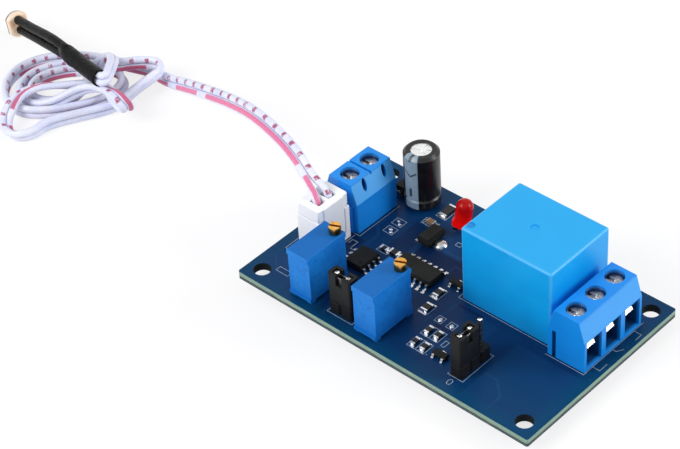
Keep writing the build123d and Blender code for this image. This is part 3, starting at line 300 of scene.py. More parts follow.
# The flat lead: x, y, z and its lean, 0 flat with the print up, 90 on edge with the marked core on top.
# Where a point has only x and y, the lead stands on edge on the table.
lead = {
    "core": 1.42,
    "apart": 1.36,
    "apartInPlug": 2.5,
    "splitLength": 6.5,
    "sides": 16,
    "smoothness": 8,
    "start": [
        (-25.6, -4.2, 12.3, 0), (-25.9, -4.2, 14.1, 0), (-29.2, -3.2, 14.7, 8), (-34.7, -1.5, 17.3, 25),
        (-41.7, 0.6, 17.5, 35), (-49.4, 2.9, 16.4, 42), (-57.5, 5.3, 13.5, 48), (-66.6, 8.0, 9.6, 55),
        (-75.7, 10.8, 5.3, 65), (-83.8, 13.2, 1.3, 80),
    ],
    "firstTurn": [
        (-88.6, 13.4), (-93.2, 11.8), (-98.0, 10.2), (-102.8, 7.8), (-106.8, 4.2), (-109.0, -0.2),
        (-108.9, -4.8), (-106.5, -9.0), (-102.4, -11.5), (-97.9, -11.2), (-94.2, -8.3),
        (-91.3, -4.6, 1.4, 95), (-89.0, -0.4, 1.4, 110), (-88.2, 3.6, 1.4, 125),
    ],
    "secondTurn": [
        (-89.6, 7.4, 1.4, 120), (-92.6, 9.0, 1.4, 105), (-96.6, 8.2, 1.4, 90), (-101.0, 6.0), (-104.4, 2.4),
        (-105.9, -2.0), (-104.8, -6.2), (-101.8, -8.9), (-97.6, -9.0, 1.5, 88), (-94.3, -6.4, 2.4, 84),
    ],
    "tail": [
        (-91.9, -3.6, 4.4, 75), (-89.2, -1.5, 5.9, 62), (-85.8, -0.7, 6.4, 40), (-83.0, -1.0, 6.9, 15),
        (-81.0, -1.4, 7.0, 0), (-79.6, -1.2, 5.9, -61), (-80.3, -0.2, 4.1, 180), (-82.4, 0.5, 3.0, 180),
        (-84.5, 0.8, 3.4, 210), (-86.4, 1.0, 4.4, 250), (-88.6, 0.9, 5.0, 280),
    ],
    "frontLoop": [
        (-91.8, -1.0, 4.9, 300), (-95.0, -3.4, 4.7, 320), (-98.0, -6.2, 4.7, 328), (-99.8, -9.8, 4.4, 345),
        (-99.4, -13.6, 3.0, 365), (-97.2, -16.9, 1.8, 390), (-93.8, -17.6, 1.4, 420),
        (-91.6, -14.9, 1.4, 440), (-91.9, -10.9, 1.4, 448),
    ],
    "sideFold": [
        (-89.7, -6.5), (-87.3, -2.4, 1.4, 86), (-85.3, 1.4, 1.5, 82), (-84.7, 5.6, 3.0, 74),
        (-83.8, 9.4, 4.1, 72), (-84.0, 12.3, 4.1, 78), (-86.2, 13.5, 4.1, 84), (-88.8, 11.8, 4.2, 86),
        (-91.4, 9.3, 4.0, 86),
    ],
    "thirdTurn": [
        (-95.0, 6.6, 2.8, 86), (-99.2, 4.8, 1.7, 88), (-102.4, 1.8), (-103.8, -2.2), (-102.4, -6.0),
        (-99.0, -7.4), (-95.8, -6.0, 1.5, 88), (-93.8, -3.0, 1.6, 86), (-93.6, 0.6, 2.2, 80),
    ],
    "rise": [  # twists half round on its way up, so its plain back shows
        (-94.8, 4.0, 3.6, 120), (-94.2, 7.0, 5.6, 180), (-91.6, 7.0, 7.0, 225), (-88.8, 4.4, 8.1, 250),
        (-86.5, 1.6, 9.0, 255), (-84.9, -0.4, 9.4, 260), (-85.6, -1.6, 9.2, 250), (-88.0, -0.7, 8.65, 240),
    ],
    "onEdge": (1.4, 88),
    "exit": (-25.8, -4.2, 13.4),
    "length": 0.334,
    "vinyl": [(216, 221, 250), (240, 242, 255)],
    # the second pink is painted shade, used where the lead lies coiled on the table
    "pink": [(230, 112, 156), (196, 78, 118)],
    "mauve": (166, 62, 108),
    "pitch": 2.8,
    "stripe": 54.3,
    "gaps": [(7.1, 1.1), (46.6, 1.2)],
}


def leadRoute():  # every listed point, in order
    order = ("start", "firstTurn", "secondTurn", "tail", "frontLoop", "sideFold", "thirdTurn", "rise")
    return [point + lead["onEdge"][len(point) - 2:] for part in order for point in lead[part]]


def smoothLine(points, smoothness):  # the points of a spline drawn along its controls
    curve = bpy.data.curves.new("route", "CURVE")
    curve.dimensions = "3D"
    curve.resolution_u = smoothness
    spline = curve.splines.new("NURBS")
    spline.points.add(len(points) - 1)
    for knot, (x, y, z) in zip(spline.points, points):
        knot.co = (x * 0.001, y * 0.001, z * 0.001, 1.0)
    spline.order_u = 3
    spline.use_endpoint_u = True
    thing = bpy.data.objects.new("route", curve)
    mesh = bpy.data.meshes.new_from_object(thing)
    line = [v.co * 1000.0 for v in mesh.vertices]
    bpy.data.objects.remove(thing)
    bpy.data.meshes.remove(mesh)
    bpy.data.curves.remove(curve)
    return [p for i, p in enumerate(line) if not i or (p - line[i - 1]).length > 0.02]


def alongLine(line):
    run = [0.0]
    for a, b in zip(line, line[1:]):
        run.append(run[-1] + (b - a).length)
    return run


def between(values, place):  # a value part way along a list
    place = min(max(place, 0.0), len(values) - 1.0)
    low = min(int(place), len(values) - 2)
    return values[low] + (values[low + 1] - values[low]) * (place - low)


def leadWidths(route):  # which way the ribbon's width points at each listed point
    wide = []
    for i, point in enumerate(route):
        ahead = Vector(route[min(i + 1, len(route) - 1)][:3]) - Vector(route[max(i - 1, 0)][:3])
        side = ahead.cross(Vector((0, 0, 1))).normalized()
        lean = math.radians(point[3])
        wide.append(math.cos(lean) * side + math.sin(lean) * side.cross(ahead).normalized())
    return wide


def leadPaint():
    paint = Paint("leadVinyl", specularIorLevel=0.35, coatWeight=0.12, coatRoughness=0.25)
    run = paint.node("Attribute", {"attribute_name": "leadPlace"}, out="Vector")
    spot = paint.place()
    along, across, face = paint.axes(run)
    fleck = paint.grain(spot, 3.2, 3.0)
    cloud = paint.grain(spot, 0.25, 2.0)
    ragged = (paint.grain(spot, 1.7, 2.0) - 0.5) * 0.3
    printed = paint.step(face, 0.16, 0.34)
    band = paint.step(across, -0.18, -0.30) * paint.step(across + ragged * 0.5, -1.24, -1.08)
    broken = along % lead["stripe"]
    spread = paint.step(along, 30.0, 40.0) * 0.8
    first, second = (paint.step(abs(broken - middle) - spread, half, half + 0.3)
                     for middle, half in lead["gaps"])
    stripe = printed * band * (first & second) * (0.78 + fleck * 0.3)
    jitter = paint.node("CombineXYZ", sockets={0: along * 0.09})
    drawn = along - paint.step(along, 18.0, 40.0) * 4.0 - paint.step(along, 40.0, 84.0) * 14.0  # stretched
    beat = (drawn + (paint.grain(jitter, 1.0, 0.0) - 0.5) * 1.2) % lead["pitch"]
    wide = 0.40 + (paint.grain(jitter, 3.1, 0.0) - 0.5) * 0.5
    mark = paint.step(abs(beat - 1.4) - wide, 0.1, -0.1)
    height = paint.step(across + ragged, 0.14, 0.3) * paint.step(across + ragged, 1.32, 1.12)
    holes = paint.step(paint.grain(spot, 2.2, 1.0), 0.36, 0.5)
    letters = mark * height * printed * (0.45 + holes * 0.55)
    # painted shade in the groove between the two conductors
    grooveShade = paint.step(abs(across), 0.14, 0.03)
    white = paint.tones(paint.step(cloud * 0.5 + fleck * 0.5), lead["vinyl"])
    white = paint.shade(grooveShade * 0.35, white, tint(150, 152, 182))
    # painted shade: the pink stripe darkens from where the lead comes down to the coil
    pink = paint.tones(paint.step(along, 60.0, 84.0), lead["pink"])
    pinked = paint.shade(stripe & 1.0, white, pink)
    colour = paint.shade(letters * 0.95, pinked, tint(*lead["mauve"]))
    return paint.done(colour, 0.4 + (fleck - 0.5) * 0.2, fleck, 0.02)


def makeLead():
    route = leadRoute()
    widths = leadWidths(route)
    line = smoothLine([p[:3] for p in route], lead["smoothness"])
    run = alongLine(line)
    radius = lead["core"] / 2
    points, faces, places = [], [], []
    turns = circle(lead["sides"])
    for core in (-1, 1):
        rings = []
        for i, spot in enumerate(line):
            ahead = (line[min(i + 1, len(line) - 1)] - line[max(i - 1, 0)]).normalized()
            wide = between(widths, i / (len(line) - 1) * (len(route) - 2) + 0.5)
            wide = (wide - wide.dot(ahead) * ahead).normalized()
            face = wide.cross(ahead)
            split = min(run[i] / lead["splitLength"], 1.0)
            split = split * split * (3 - 2 * split)
            apart = lead["apartInPlug"] + (lead["apart"] - lead["apartInPlug"]) * split
            rings.append([spot + wide * core * (apart / 2 + radius * c) + radius * s * face
                          for c, s in turns])
            places += [(run[i], core * (lead["apart"] / 2 + radius * c), s) for c, s in turns]
        ringTube(rings, points, faces, -core)
    piece = makePiece("sensor_lead", points, faces, leadPaint())
    marks = piece.data.attributes.new("leadPlace", "FLOAT_VECTOR", "POINT")
    marks.data.foreach_set("vector", [c for place in places for c in place])
    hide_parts("sensor_cord", "sensor_cord_hank")
    return piece, line, run[-1]


leadPiece, leadLine, leadRun = makeLead()
print("lead laid,", round(leadRun, 1), "mm")

# Photocell on its two sleeved legs, which shrink together into one splice sleeve over the lead's end
stem = {
    "line": [
        (-86.1, -1.1, 9.0), (-94.4, 0.8, 8.0), (-102.4, 2.6, 7.2), (-111.0, 4.5, 4.95), (-119.6, 6.5, 2.7),
    ],
    "spliceEnd": 14.6,
    "spliceRadius": 1.62,
    "legRadius": 0.92,
    "legsFrom": 12.4,
    "apart": [(0.0, 0.9), (14.5, 0.94), (17.5, 1.08), (21.5, 1.14), (27.0, 1.02), (40.0, 1.12)],
    "tube": [(3, 4, 4), (9, 10, 10)],
    "cellThick": 1.5,
    "cellReach": 2.62,
    "cellFlat": 2.12,
    "cellSides": 40,
    "cellBack": 0.55,
    "sleevesStop": 0.75,
    "wire": 0.27,
    "wireFrom": -4.0,
    "wireStep": 4.3 / 6,
    "peach": [(246, 204, 168), (255, 234, 210)],
    # a painted highlight for the disc's side
    "sideHighlight": (244, 226, 210),
    "face": (52, 46, 42),
}


def leanTo(ahead):  # across a rod, pointing as nearly up as it can
    return (Vector((0, 0, 1)) - ahead.z * ahead).normalized()


def onLine(line, run, far):  # the point and direction a given way along
    low = max(i for i in range(len(run) - 1) if run[i] <= max(far, 0.0) or not i)
    share = (far - run[low]) / (run[low + 1] - run[low])
    ahead = (line[low + 1] - line[low]).normalized()
    return line[low] + (line[low + 1] - line[low]) * share, ahead


def sample(pairs, place):
    for (x0, y0), (x1, y1) in zip(pairs, pairs[1:]):
        if place <= x1:
            return y0 + (y1 - y0) * (place - x0) / (x1 - x0)
    return pairs[-1][1]


def stemRing(line, run, far, wide, thick, offset=0.0, sides=28, wrinkle=0.0):
    spot, ahead = onLine(line, run, far)
    up = leanTo(ahead)
    side = up.cross(ahead)
    ring = []
    for k in range(sides):
        turn = 2 * math.pi * k / sides
        crease = 1.0 + wrinkle * math.sin(far * 2.3 + 3 * turn) * math.sin(far * 0.9 + 2.0)
        high = offset + wide * crease * math.cos(turn)
        ring.append(spot + up * high + side * thick * crease * math.sin(turn))
    return ring


def tubePaint():
    paint = Paint("shrunkTube", specularIorLevel=0.1)
    spot = paint.place()
    streak = paint.grain(paint.stretch(spot, (0.5, 2.5, 2.5)), 1.1, 3.0)
    colour = paint.tones(paint.step(streak, 0.35, 0.7), stem["tube"])
    return paint.done(colour, 0.36 + (streak - 0.5) * 0.3, streak, 0.12)


def cellPaint(centre, ahead):
    paint = Paint("coatedCeramic", specularIorLevel=0.5, coatWeight=0.25, coatRoughness=0.2)
    spot = paint.place()
    deep = paint.dot(spot, tuple(ahead)) - centre.dot(ahead)
    cloud = paint.grain(spot, 0.55, 3.0)
    body = paint.tones(paint.step(cloud, 0.38, 0.66), stem["peach"])
    # painted highlight: the disc's side, past its back face, is painted paler
    side = paint.step(deep + (cloud - 0.5) * 0.4, 0.12, 0.55)
    highlighted = paint.shade(side * 0.7, body, tint(*stem["sideHighlight"]))
    window = paint.step(deep + (cloud - 0.5) * 0.5, stem["cellThick"] - 0.75, stem["cellThick"] - 0.5)
    colour = paint.shade(window * 0.85, highlighted, tint(*stem["face"]))
    return paint.done(colour, 0.28 + cloud * 0.2, cloud, 0.1)


def makeStem():
    line = smoothLine(stem["line"], 14)
    run = alongLine(line)
    paint = tubePaint()
    end = stem["spliceEnd"]
    radius = stem["spliceRadius"]
    profile = [  # how far along, half width and half thickness: an open mouth, the tube, then the shrunk neck
        (1.2, 1.25, 1.25), (0.1, 1.34, 1.34), (0.0, radius, radius), (0.5, radius + 0.05, radius + 0.05),
        (3.0, radius + 0.02, radius), (6.0, radius, radius + 0.02), (9.0, radius + 0.04, radius),
        (10.4, radius + 0.14, radius + 0.06), (11.2, radius + 0.06, radius),
        (12.2, radius + 0.22, radius - 0.04), (13.0, radius + 0.26, radius - 0.18),
        (13.8, radius + 0.28, radius - 0.36), (end, radius + 0.26, radius - 0.52),
        (end + 0.5, radius + 0.12, radius - 0.72), (end + 0.3, radius - 0.1, radius - 0.95),
    ]
    points, faces = [], []
    ringTube([stemRing(line, run, far, wide, thick, wrinkle=0.05 * min(max(far - 5, 0) / 6, 1))
              for far, wide, thick in profile], points, faces)
    splice = makePiece("splice_tube", points, faces, paint)
    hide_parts("splice_sleeve")
    length = run[-1]
    points, faces = [], []
    radius = stem["legRadius"]
    first, last = stem["legsFrom"], length - stem["sleevesStop"]
    stops = [first + (last - first) * i / 26 for i in range(27)]
    for s in (-1, 1):
        rings = [stemRing(line, run, far, radius * (1 + 0.02 * math.sin(far * 1.7 + s)), radius,
                          s * sample(stem["apart"], far), 20) for far in stops]
        for past, share in ((0.12, 0.96), (0.05, 0.6), (-1.0, 0.55)):
            far, r = last + past, radius * share
            rings.append(stemRing(line, run, far, r, r, s * sample(stem["apart"], far), 20))
        ringTube(rings, points, faces)
    legs = makePiece("leg_tubes", points, faces, paint)
    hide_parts("leg_sleeves")
    points, faces = [], []
    stops = [length + stem["wireFrom"] + stem["wireStep"] * i for i in range(6)]
    for s in (-1, 1):
        ringTube([stemRing(line, run, min(far, length - 0.01), stem["wire"], stem["wire"],
                           s * sample(stem["apart"], far), 12) for far in stops], points, faces)
    wires = makePiece("cell_wires", points, faces, tinPaint)
    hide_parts("photocell_legs")
    centre, ahead = onLine(line, run, length - stem["cellBack"])
    up = leanTo(ahead)
    side = up.cross(ahead)
    thick = stem["cellThick"]
    profile = [(0.0, 0.5), (-0.03, 0.78), (0.05, 0.9), (0.24, 0.98), (0.5, 1.0), (thick - 0.35, 1.0),
               (thick - 0.1, 0.985), (thick, 0.93), (thick, 0.8), (thick - 0.06, 0.5)]
    reach, flat = stem["cellReach"], stem["cellFlat"]
    rings = [[centre + ahead * far + (up * reach * c + side * max(-flat, min(flat, reach * s))) * share
              for c, s in circle(stem["cellSides"])] for far, share in profile]
    points, faces = [], []
    ringTube(rings, points, faces)
    cell = makePiece("photocell_disc", points, faces, cellPaint(centre, ahead))
    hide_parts("photocell")
    return [splice, legs, wires, cell]


# Finishes of the moulded and metal parts


def mouldedPaint(name, pair, roughness, fine=3.0, depth=0.012, coat=0.0, shine=0.25):
    paint = Paint(name, coatWeight=coat, coatRoughness=0.25, specularIorLevel=shine)
    body, speck = paint.mottle(paint.place(), pair, 0.25, fine, 0.6, low=0.38)
    return paint.done(body, roughness + (speck - 0.5) * 0.22, speck, depth)


def metalPaint(name, colour, dull, roughness, scale=1.2, depth=0.01):
    paint = Paint(name, metallic=1.0)
    spot = paint.place()
    cloud = paint.grain(spot, scale, 4.0, 0.6)
    brushed = paint.grain(paint.stretch(spot, (1.0, 9.0, 1.0)), 2.0, 2.0)
    colour = paint.shade(paint.step(cloud), colour, dull)
    roughness = roughness + (cloud - 0.5) * 0.25 + (brushed - 0.5) * 0.12
    return paint.done(colour, roughness, brushed * 0.5 + cloud * 0.5, depth)


# Relay case: smooth blue, with a painted highlight along its moulded edges, painted light on its top, and
# painted shade towards the board and in the dimple on top
relayCase = {
    "centre": (11.9, 7.15),
    "half": (9.5, 7.7),
    "top": 19.1,
    "blue": [(6, 158, 232), (14, 168, 240)],
    # the edge colour is a painted highlight and the next one painted light on top; the foot colour is painted
    # shade
    "edge": (104, 196, 248),
    "litTop": (34, 170, 236),
    "dimple": (3.35, 1.0, 0.75),
    "foot": (4, 116, 190),
}


def relayPaint():
    paint = Paint("relayCase", specularIorLevel=0.3, coatWeight=0.06, coatRoughness=0.2)
    spot = paint.place()
    x, y, z = paint.axes(spot)
    inX = relayCase["half"][0] - abs(x - relayCase["centre"][0])
    inY = relayCase["half"][1] - abs(y - relayCase["centre"][1])
    down = relayCase["top"] - z
    nearest = inX & inY & down
    farthest = inX | inY | down
    second = inX + inY + down - nearest - farthest
    body, speck = paint.mottle(spot, relayCase["blue"], 0.16, 4.5, 0.7, 0.65)
    # a painted highlight along the rounded edges
    rim = paint.step(second + (speck - 0.5) * 0.25, 0.5, 0.1)
    # painted shade, darker towards the board
    body = paint.shade(paint.step(z, 9.0, 3.6) * 0.5, body, tint(*relayCase["foot"]))
    # painted light: the top face is painted lighter
    body = paint.shade(paint.step(down, 0.3, 0.05) * 0.75, body, tint(*relayCase["litTop"]))
    # painted shade in the dimple on top
    dx, dy, radius = relayCase["dimple"]
    away = (x - dx) * (x - dx) + (y - dy) * (y - dy)
    pit = paint.step(away, radius * radius * 1.1, radius * radius * 0.9) * paint.step(down, 0.6, 0.4)
    body = paint.shade(pit * 0.6, body, tint(*relayCase["foot"]))
    colour = paint.shade(rim * 0.55, body, tint(*relayCase["edge"]))
    return paint.done(colour, 0.4 + (speck - 0.5) * 0.2, speck, 0.008)


# Screw terminals: blue housings, with painted shade inside their wells and wire entries and a painted
# highlight on their sloped fronts
terminals = {
    # the last number of each block is how strongly its sloped front takes the painted highlight
    "output": {"x": 25.8, "y": 5.5, "half": 7.62, "paler": 0.5},
    "input": {"x": -26.1, "y": 5.8, "half": 5.08, "paler": 0.95},
    "reach": 3.8,
    "high": 10.2,
    "slopeFoot": 6.2,
    "slopeLean": 0.3125,
    "blue": [(10, 134, 226), (20, 142, 234)],
    # painted shade for the wells, then the painted highlight for the sloped fronts
    "inside": (6, 34, 78),
    "slope": (88, 178, 248),
}


def terminalPaint(side):
    paint = Paint(side + "TerminalBlue", specularIorLevel=0.3, coatWeight=0.08, coatRoughness=0.25)
    spot = paint.place()
    x, y, z = paint.axes(spot)
    at = terminals[side]
    u = abs(x - at["x"])
    v = abs(y - at["y"])
    up = z - boardTop
    reach, high, foot, lean = (terminals[k] for k in ("reach", "high", "slopeFoot", "slopeLean"))
    onSlope = (reach - u - (up - foot) * lean) / 1.048
    deep = (reach - u) & onSlope & (high - up) & (at["half"] + 0.15 - v)
    # painted shade inside the wells and wire entries
    inside = paint.step(deep, 0.22, 0.75)
    body, speck = paint.mottle(spot, terminals["blue"], 0.22, 4.0, 0.6)
    # a painted highlight on the sloped front
    sloped = paint.step(onSlope, 0.14, 0.04) * paint.step(up, foot + 0.05, foot + 0.15)
    sloped = sloped * paint.step(up, high - 0.1, high - 0.3)
    body = paint.shade(sloped * at["paler"], body, tint(*terminals["slope"]))
    colour = paint.shade(inside * 0.9, body, tint(*terminals["inside"]))
    return paint.done(colour, 0.36 + (speck - 0.5) * 0.2, speck, 0.01)


# Trimmers: fine-grained blue moulding, its potted top duller than its sides, with painted shade darkening
# them towards the board
trimmer = {
    "blue": [(16, 118, 208), (30, 134, 222)],
    "cap": (12, 104, 184),
    # foot: a darker blue, for the moulded dots and for painted shade near the board
    "foot": (10, 84, 166),
    "top": 13.63,
}


def trimmerPaint():
    paint = Paint("trimmerBlue", specularIorLevel=0.22)
    spot = paint.place()
    z = paint.axes(spot)[2]
    body, speck = paint.mottle(spot, trimmer["blue"], 0.3, 6.5, 0.35, 0.7, 0.4, 0.62)
    dots = paint.step(paint.grain(spot, 1.7, 1.0), 0.57, 0.66) * paint.step(z, 4.4, 6.0)
    body = paint.shade(dots * 0.3, body, tint(*trimmer["foot"]))
    # painted shade, darker towards the board
    body = paint.shade(paint.step(z, 8.0, 4.4) * 0.4, body, tint(*trimmer["foot"]))
    colour = paint.shade(paint.step(z, trimmer["top"] - 0.12, trimmer["top"] - 0.04), body,
                         tint(*trimmer["cap"]))
    return paint.done(colour, 0.5 + (speck - 0.5) * 0.25, speck, 0.06)


# Terminal screws: dull heads with a painted highlight in the slot cross, seen from above
screwHead = {"slotTop": 12.6, "slotFloor": 12.2, "dull": (0.36, 0.37, 0.38), "slotHighlight": (0.86, 0.87, 0.88)}


def screwPaint():
    paint = Paint("screwHeads", metallic=1.0)
    spot = paint.place()
    z = paint.axes(spot)[2]
    cloud = paint.grain(spot, 1.4, 4.0, 0.6)
    # painted highlight: the slot cross, below the head's top, is painted bright
    cross = paint.step(z, screwHead["slotTop"], screwHead["slotFloor"])
    turned = paint.grain(paint.stretch(spot, (6.0, 6.0, 0.6)), 1.0, 2.0)
    face = paint.shade(paint.step(cloud), screwHead["dull"], (0.5, 0.5, 0.51))
    colour = paint.shade(cross, face, screwHead["slotHighlight"])
    return paint.done(colour, 0.34 + (cloud - 0.5) * 0.3 - cross * 0.1, turned * 0.5 + cloud * 0.5, 0.03)


# Screws of the trimmers: machined brass, with painted shade on the head's side and down in the slot
# side: painted shade for the head's side and slot
brassHead = {"gold": (0.90, 0.50, 0.13), "dull": (0.72, 0.34, 0.07), "side": (0.16, 0.09, 0.04), "top": 15.13}


def brassPaint():
    paint = Paint("trimmerBrass", metallic=1.0)
    spot = paint.place()
    z = paint.axes(spot)[2]
    cloud = paint.grain(spot, 1.6, 4.0, 0.6)
    turned = paint.grain(paint.stretch(spot, (5.0, 5.0, 1.0)), 1.3, 2.0)
    metal = paint.shade(paint.step(cloud), brassHead["gold"], brassHead["dull"])
    # painted shade: below the top face, on the side and in the slot, the brass is painted dark brown
    below = paint.step(z + (cloud - 0.5) * 0.3, brassHead["top"] - 0.18, brassHead["top"] - 0.5)
    colour = paint.shade(below * 0.85, metal, brassHead["side"])
    return paint.done(colour, 0.28 + (cloud - 0.5) * 0.25, turned * 0.6 + cloud * 0.4, 0.03)


tinPaint = metalPaint("tinnedMetal", (0.86, 0.87, 0.88), (0.62, 0.63, 0.65), 0.26)
steelPaint = metalPaint("nickelPlate", (0.82, 0.82, 0.82), (0.58, 0.58, 0.6), 0.26)

dress(["relay_case"], relayPaint())
dress(["relay_base", "relay_bobbin"], mouldedPaint("relayBase", [(16, 17, 19), (26, 27, 29)], 0.6, 4.0, 0.01))
dress(["relay_yoke", "relay_core", "relay_armature"],
      metalPaint("relayIron", (0.56, 0.57, 0.6), (0.44, 0.45, 0.48), 0.38))
dress(["relay_winding"], metalPaint("windingCopper", (0.72, 0.30, 0.14), (0.55, 0.2, 0.09), 0.3, 2.0, 0.03))
dress(["relay_contact_spring"], metalPaint("contactBronze", (0.80, 0.62, 0.35), (0.66, 0.48, 0.25), 0.3))
dress(["output_terminal"], terminalPaint("output"), 0.12)
dress(["input_terminal"], terminalPaint("input"), 0.12)
dress(named("_clamp_") + named("terminal_contacts"), steelPaint, 0.06)
dress(named("_screw_"), screwPaint(), 0.06)
dress(["sensitivity_trimmer", "delay_trimmer"], trimmerPaint())
dress(["sensitivity_screw", "delay_screw"], brassPaint(), 0.08)
dress(["mode_header", "output_header", "mode_jumper", "output_jumper"],
      mouldedPaint("blackMoulding", [(14, 15, 17), (24, 25, 27)], 0.5, 5.0, 0.02, 0.0, 0.2), 0.08)
dress(["mode_jumper_clip", "output_jumper_clip"],
      metalPaint("clipSteel", (0.34, 0.34, 0.35), (0.2, 0.2, 0.21), 0.36))
dress(["header_pins"], metalPaint("headerPins", (0.42, 0.41, 0.38), (0.07, 0.07, 0.07), 0.36, 1.6))
dress(["sensor_socket", "sensor_plug"],
      mouldedPaint("whiteNylon", [(246, 247, 250), (251, 251, 253)], 0.4, 3.0, 0.006, 0.06), 0.14)
dress(["comparator_chip", "logic_chip", "transistors", "regulator", "diode"],
      mouldedPaint("chipEpoxy", [(20, 21, 20), (33, 34, 32)], 0.6, 7.0, 0.02, 0.0, 0.18))
dress(["chip_resistors"], mouldedPaint("resistorGlaze", [(17, 17, 19), (34, 34, 36)], 0.35, 7.0, 0.01, 0.1))
dress(["chip_capacitors"], mouldedPaint("tanCeramic", [(132, 100, 74), (156, 122, 92)], 0.5, 6.0, 0.01))
dress(["relay_contacts", "plug_crimps", "chip_leads", "component_leads"], tinPaint)
dress(["chip_ends", "solder_joints"], tinPaint, 0.06)
dress(["capacitor_can"], metalPaint("drawnCan", (0.90, 0.90, 0.90), (0.78, 0.79, 0.8), 0.34, 0.8))
dress(["capacitor_bung"], mouldedPaint("bungRubber", [(20, 20, 20), (30, 30, 30)], 0.75, 4.0, 0.01))
print("finishes laid on the packed nodes")

stemPieces = makeStem()
[tuple(p * 0.001) for p in leadLine]
print("photocell and its sleeves made")

# Circuit board: solder mask over copper, laminate showing at the edge, with painted shade on the edge's lower
# half and in the holes
board = {
    "half": (32.0, 19.75),
    "mask": [(7, 54, 100), (5, 46, 88)],
    "deep": (6, 26, 62),
    "pale": (17, 64, 108),
    "teal": (1, 68, 104),
    "raised": (38, 92, 142),
    # painted shade for the walls of the holes
    "holeWall": (20, 26, 28),
    "pours": [  # x0, x1, y0, y1 and how strongly the copper under the mask shows: darker, or paler below 0
        (-11.5, 2.0, 1.5, 6.0, 0.8), (3.2, 8.6, -9.6, -2.0, 0.8), (17.0, 31.4, -19.2, -3.6, -0.5),
        (-31.2, -22.8, -19.0, -6.6, -0.4), (-15.2, -11.8, -19.0, -7.0, 0.6), (-21.0, -12.6, 16.4, 19.2, -0.5),
        (21.8, 31.2, 13.6, 19.0, -0.4), (-10.5, 2.0, 6.6, 12.0, -0.5), (-16.4, -12.6, 1.8, 9.4, 0.5),
        (-23.5, -20.2, -9.0, 0.0, 0.7), (2.4, 12.0, -8.2, -2.6, -0.35),
    ],
    "laminate": [(122, 150, 138), (152, 176, 156)],
    # painted shade for the lower half of the board's edge
    "edgeShade": [(58, 70, 74), (92, 104, 104)],
}


def boardPaint(name="solderMask", lift=0.0):
    paint = Paint(name, specularIorLevel=0.12)
    spot = paint.place()
    x, y, z = paint.axes(spot)
    cloud = paint.grain(spot, 0.12, 3.0)
    fine = paint.grain(spot, 2.6, 3.0)
    weave = paint.node("TexChecker", sockets={"Vector": spot, "Scale": 2.2}, out="Fac")
    colour = paint.tones(paint.step(cloud * 0.8 + fine * 0.2), board["mask"])
    for x0, x1, y0, y1, depth in board["pours"]:
        inside = paint.patch(x, y, (x0, x1, y0, y1), 0.06)
        colour = paint.shade(inside * abs(depth), colour, tint(*board["deep" if depth > 0 else "pale"]))
    if lift:
        colour = paint.shade(lift, colour, tint(*board["raised"]))
    halfX, halfY = board["half"]
    rim = paint.step(abs(x), halfX - 3.4, halfX) | paint.step(abs(y), halfY - 3.15, halfY)
    colour = paint.shade(rim * 0.7, colour, tint(*board["teal"]))
    middle = (boardTop + boardBottom) / 2
    core = paint.step(abs(z - middle), 0.76, 0.72)
    layers = paint.grain(paint.stretch(spot, (0.35, 0.35, 7.0)), 1.0, 3.0)
    streak = paint.step(layers)
    laminate = paint.tones(streak, board["laminate"])
    # painted shade for the lower half of the edge
    edgeShade = paint.tones(streak, board["edgeShade"])
    edge = paint.shade(paint.step(z + (layers - 0.5) * 0.3, middle - 0.02, middle - 0.2), laminate, edgeShade)
    outside = paint.step(abs(x), halfX - 0.3, halfX - 0.1) | paint.step(abs(y), halfY - 0.3, halfY - 0.1)
    # painted shade: the walls of the holes are dark
    wall = paint.shade(outside, tint(*board["holeWall"]), edge)
    colour = paint.shade(core, colour, wall)
    return paint.done(colour, 0.36 + core * 0.4 + (cloud - 0.5) * 0.1, weave * 0.3 + fine * 0.7, 0.008)


dress(["circuit_board"], boardPaint())

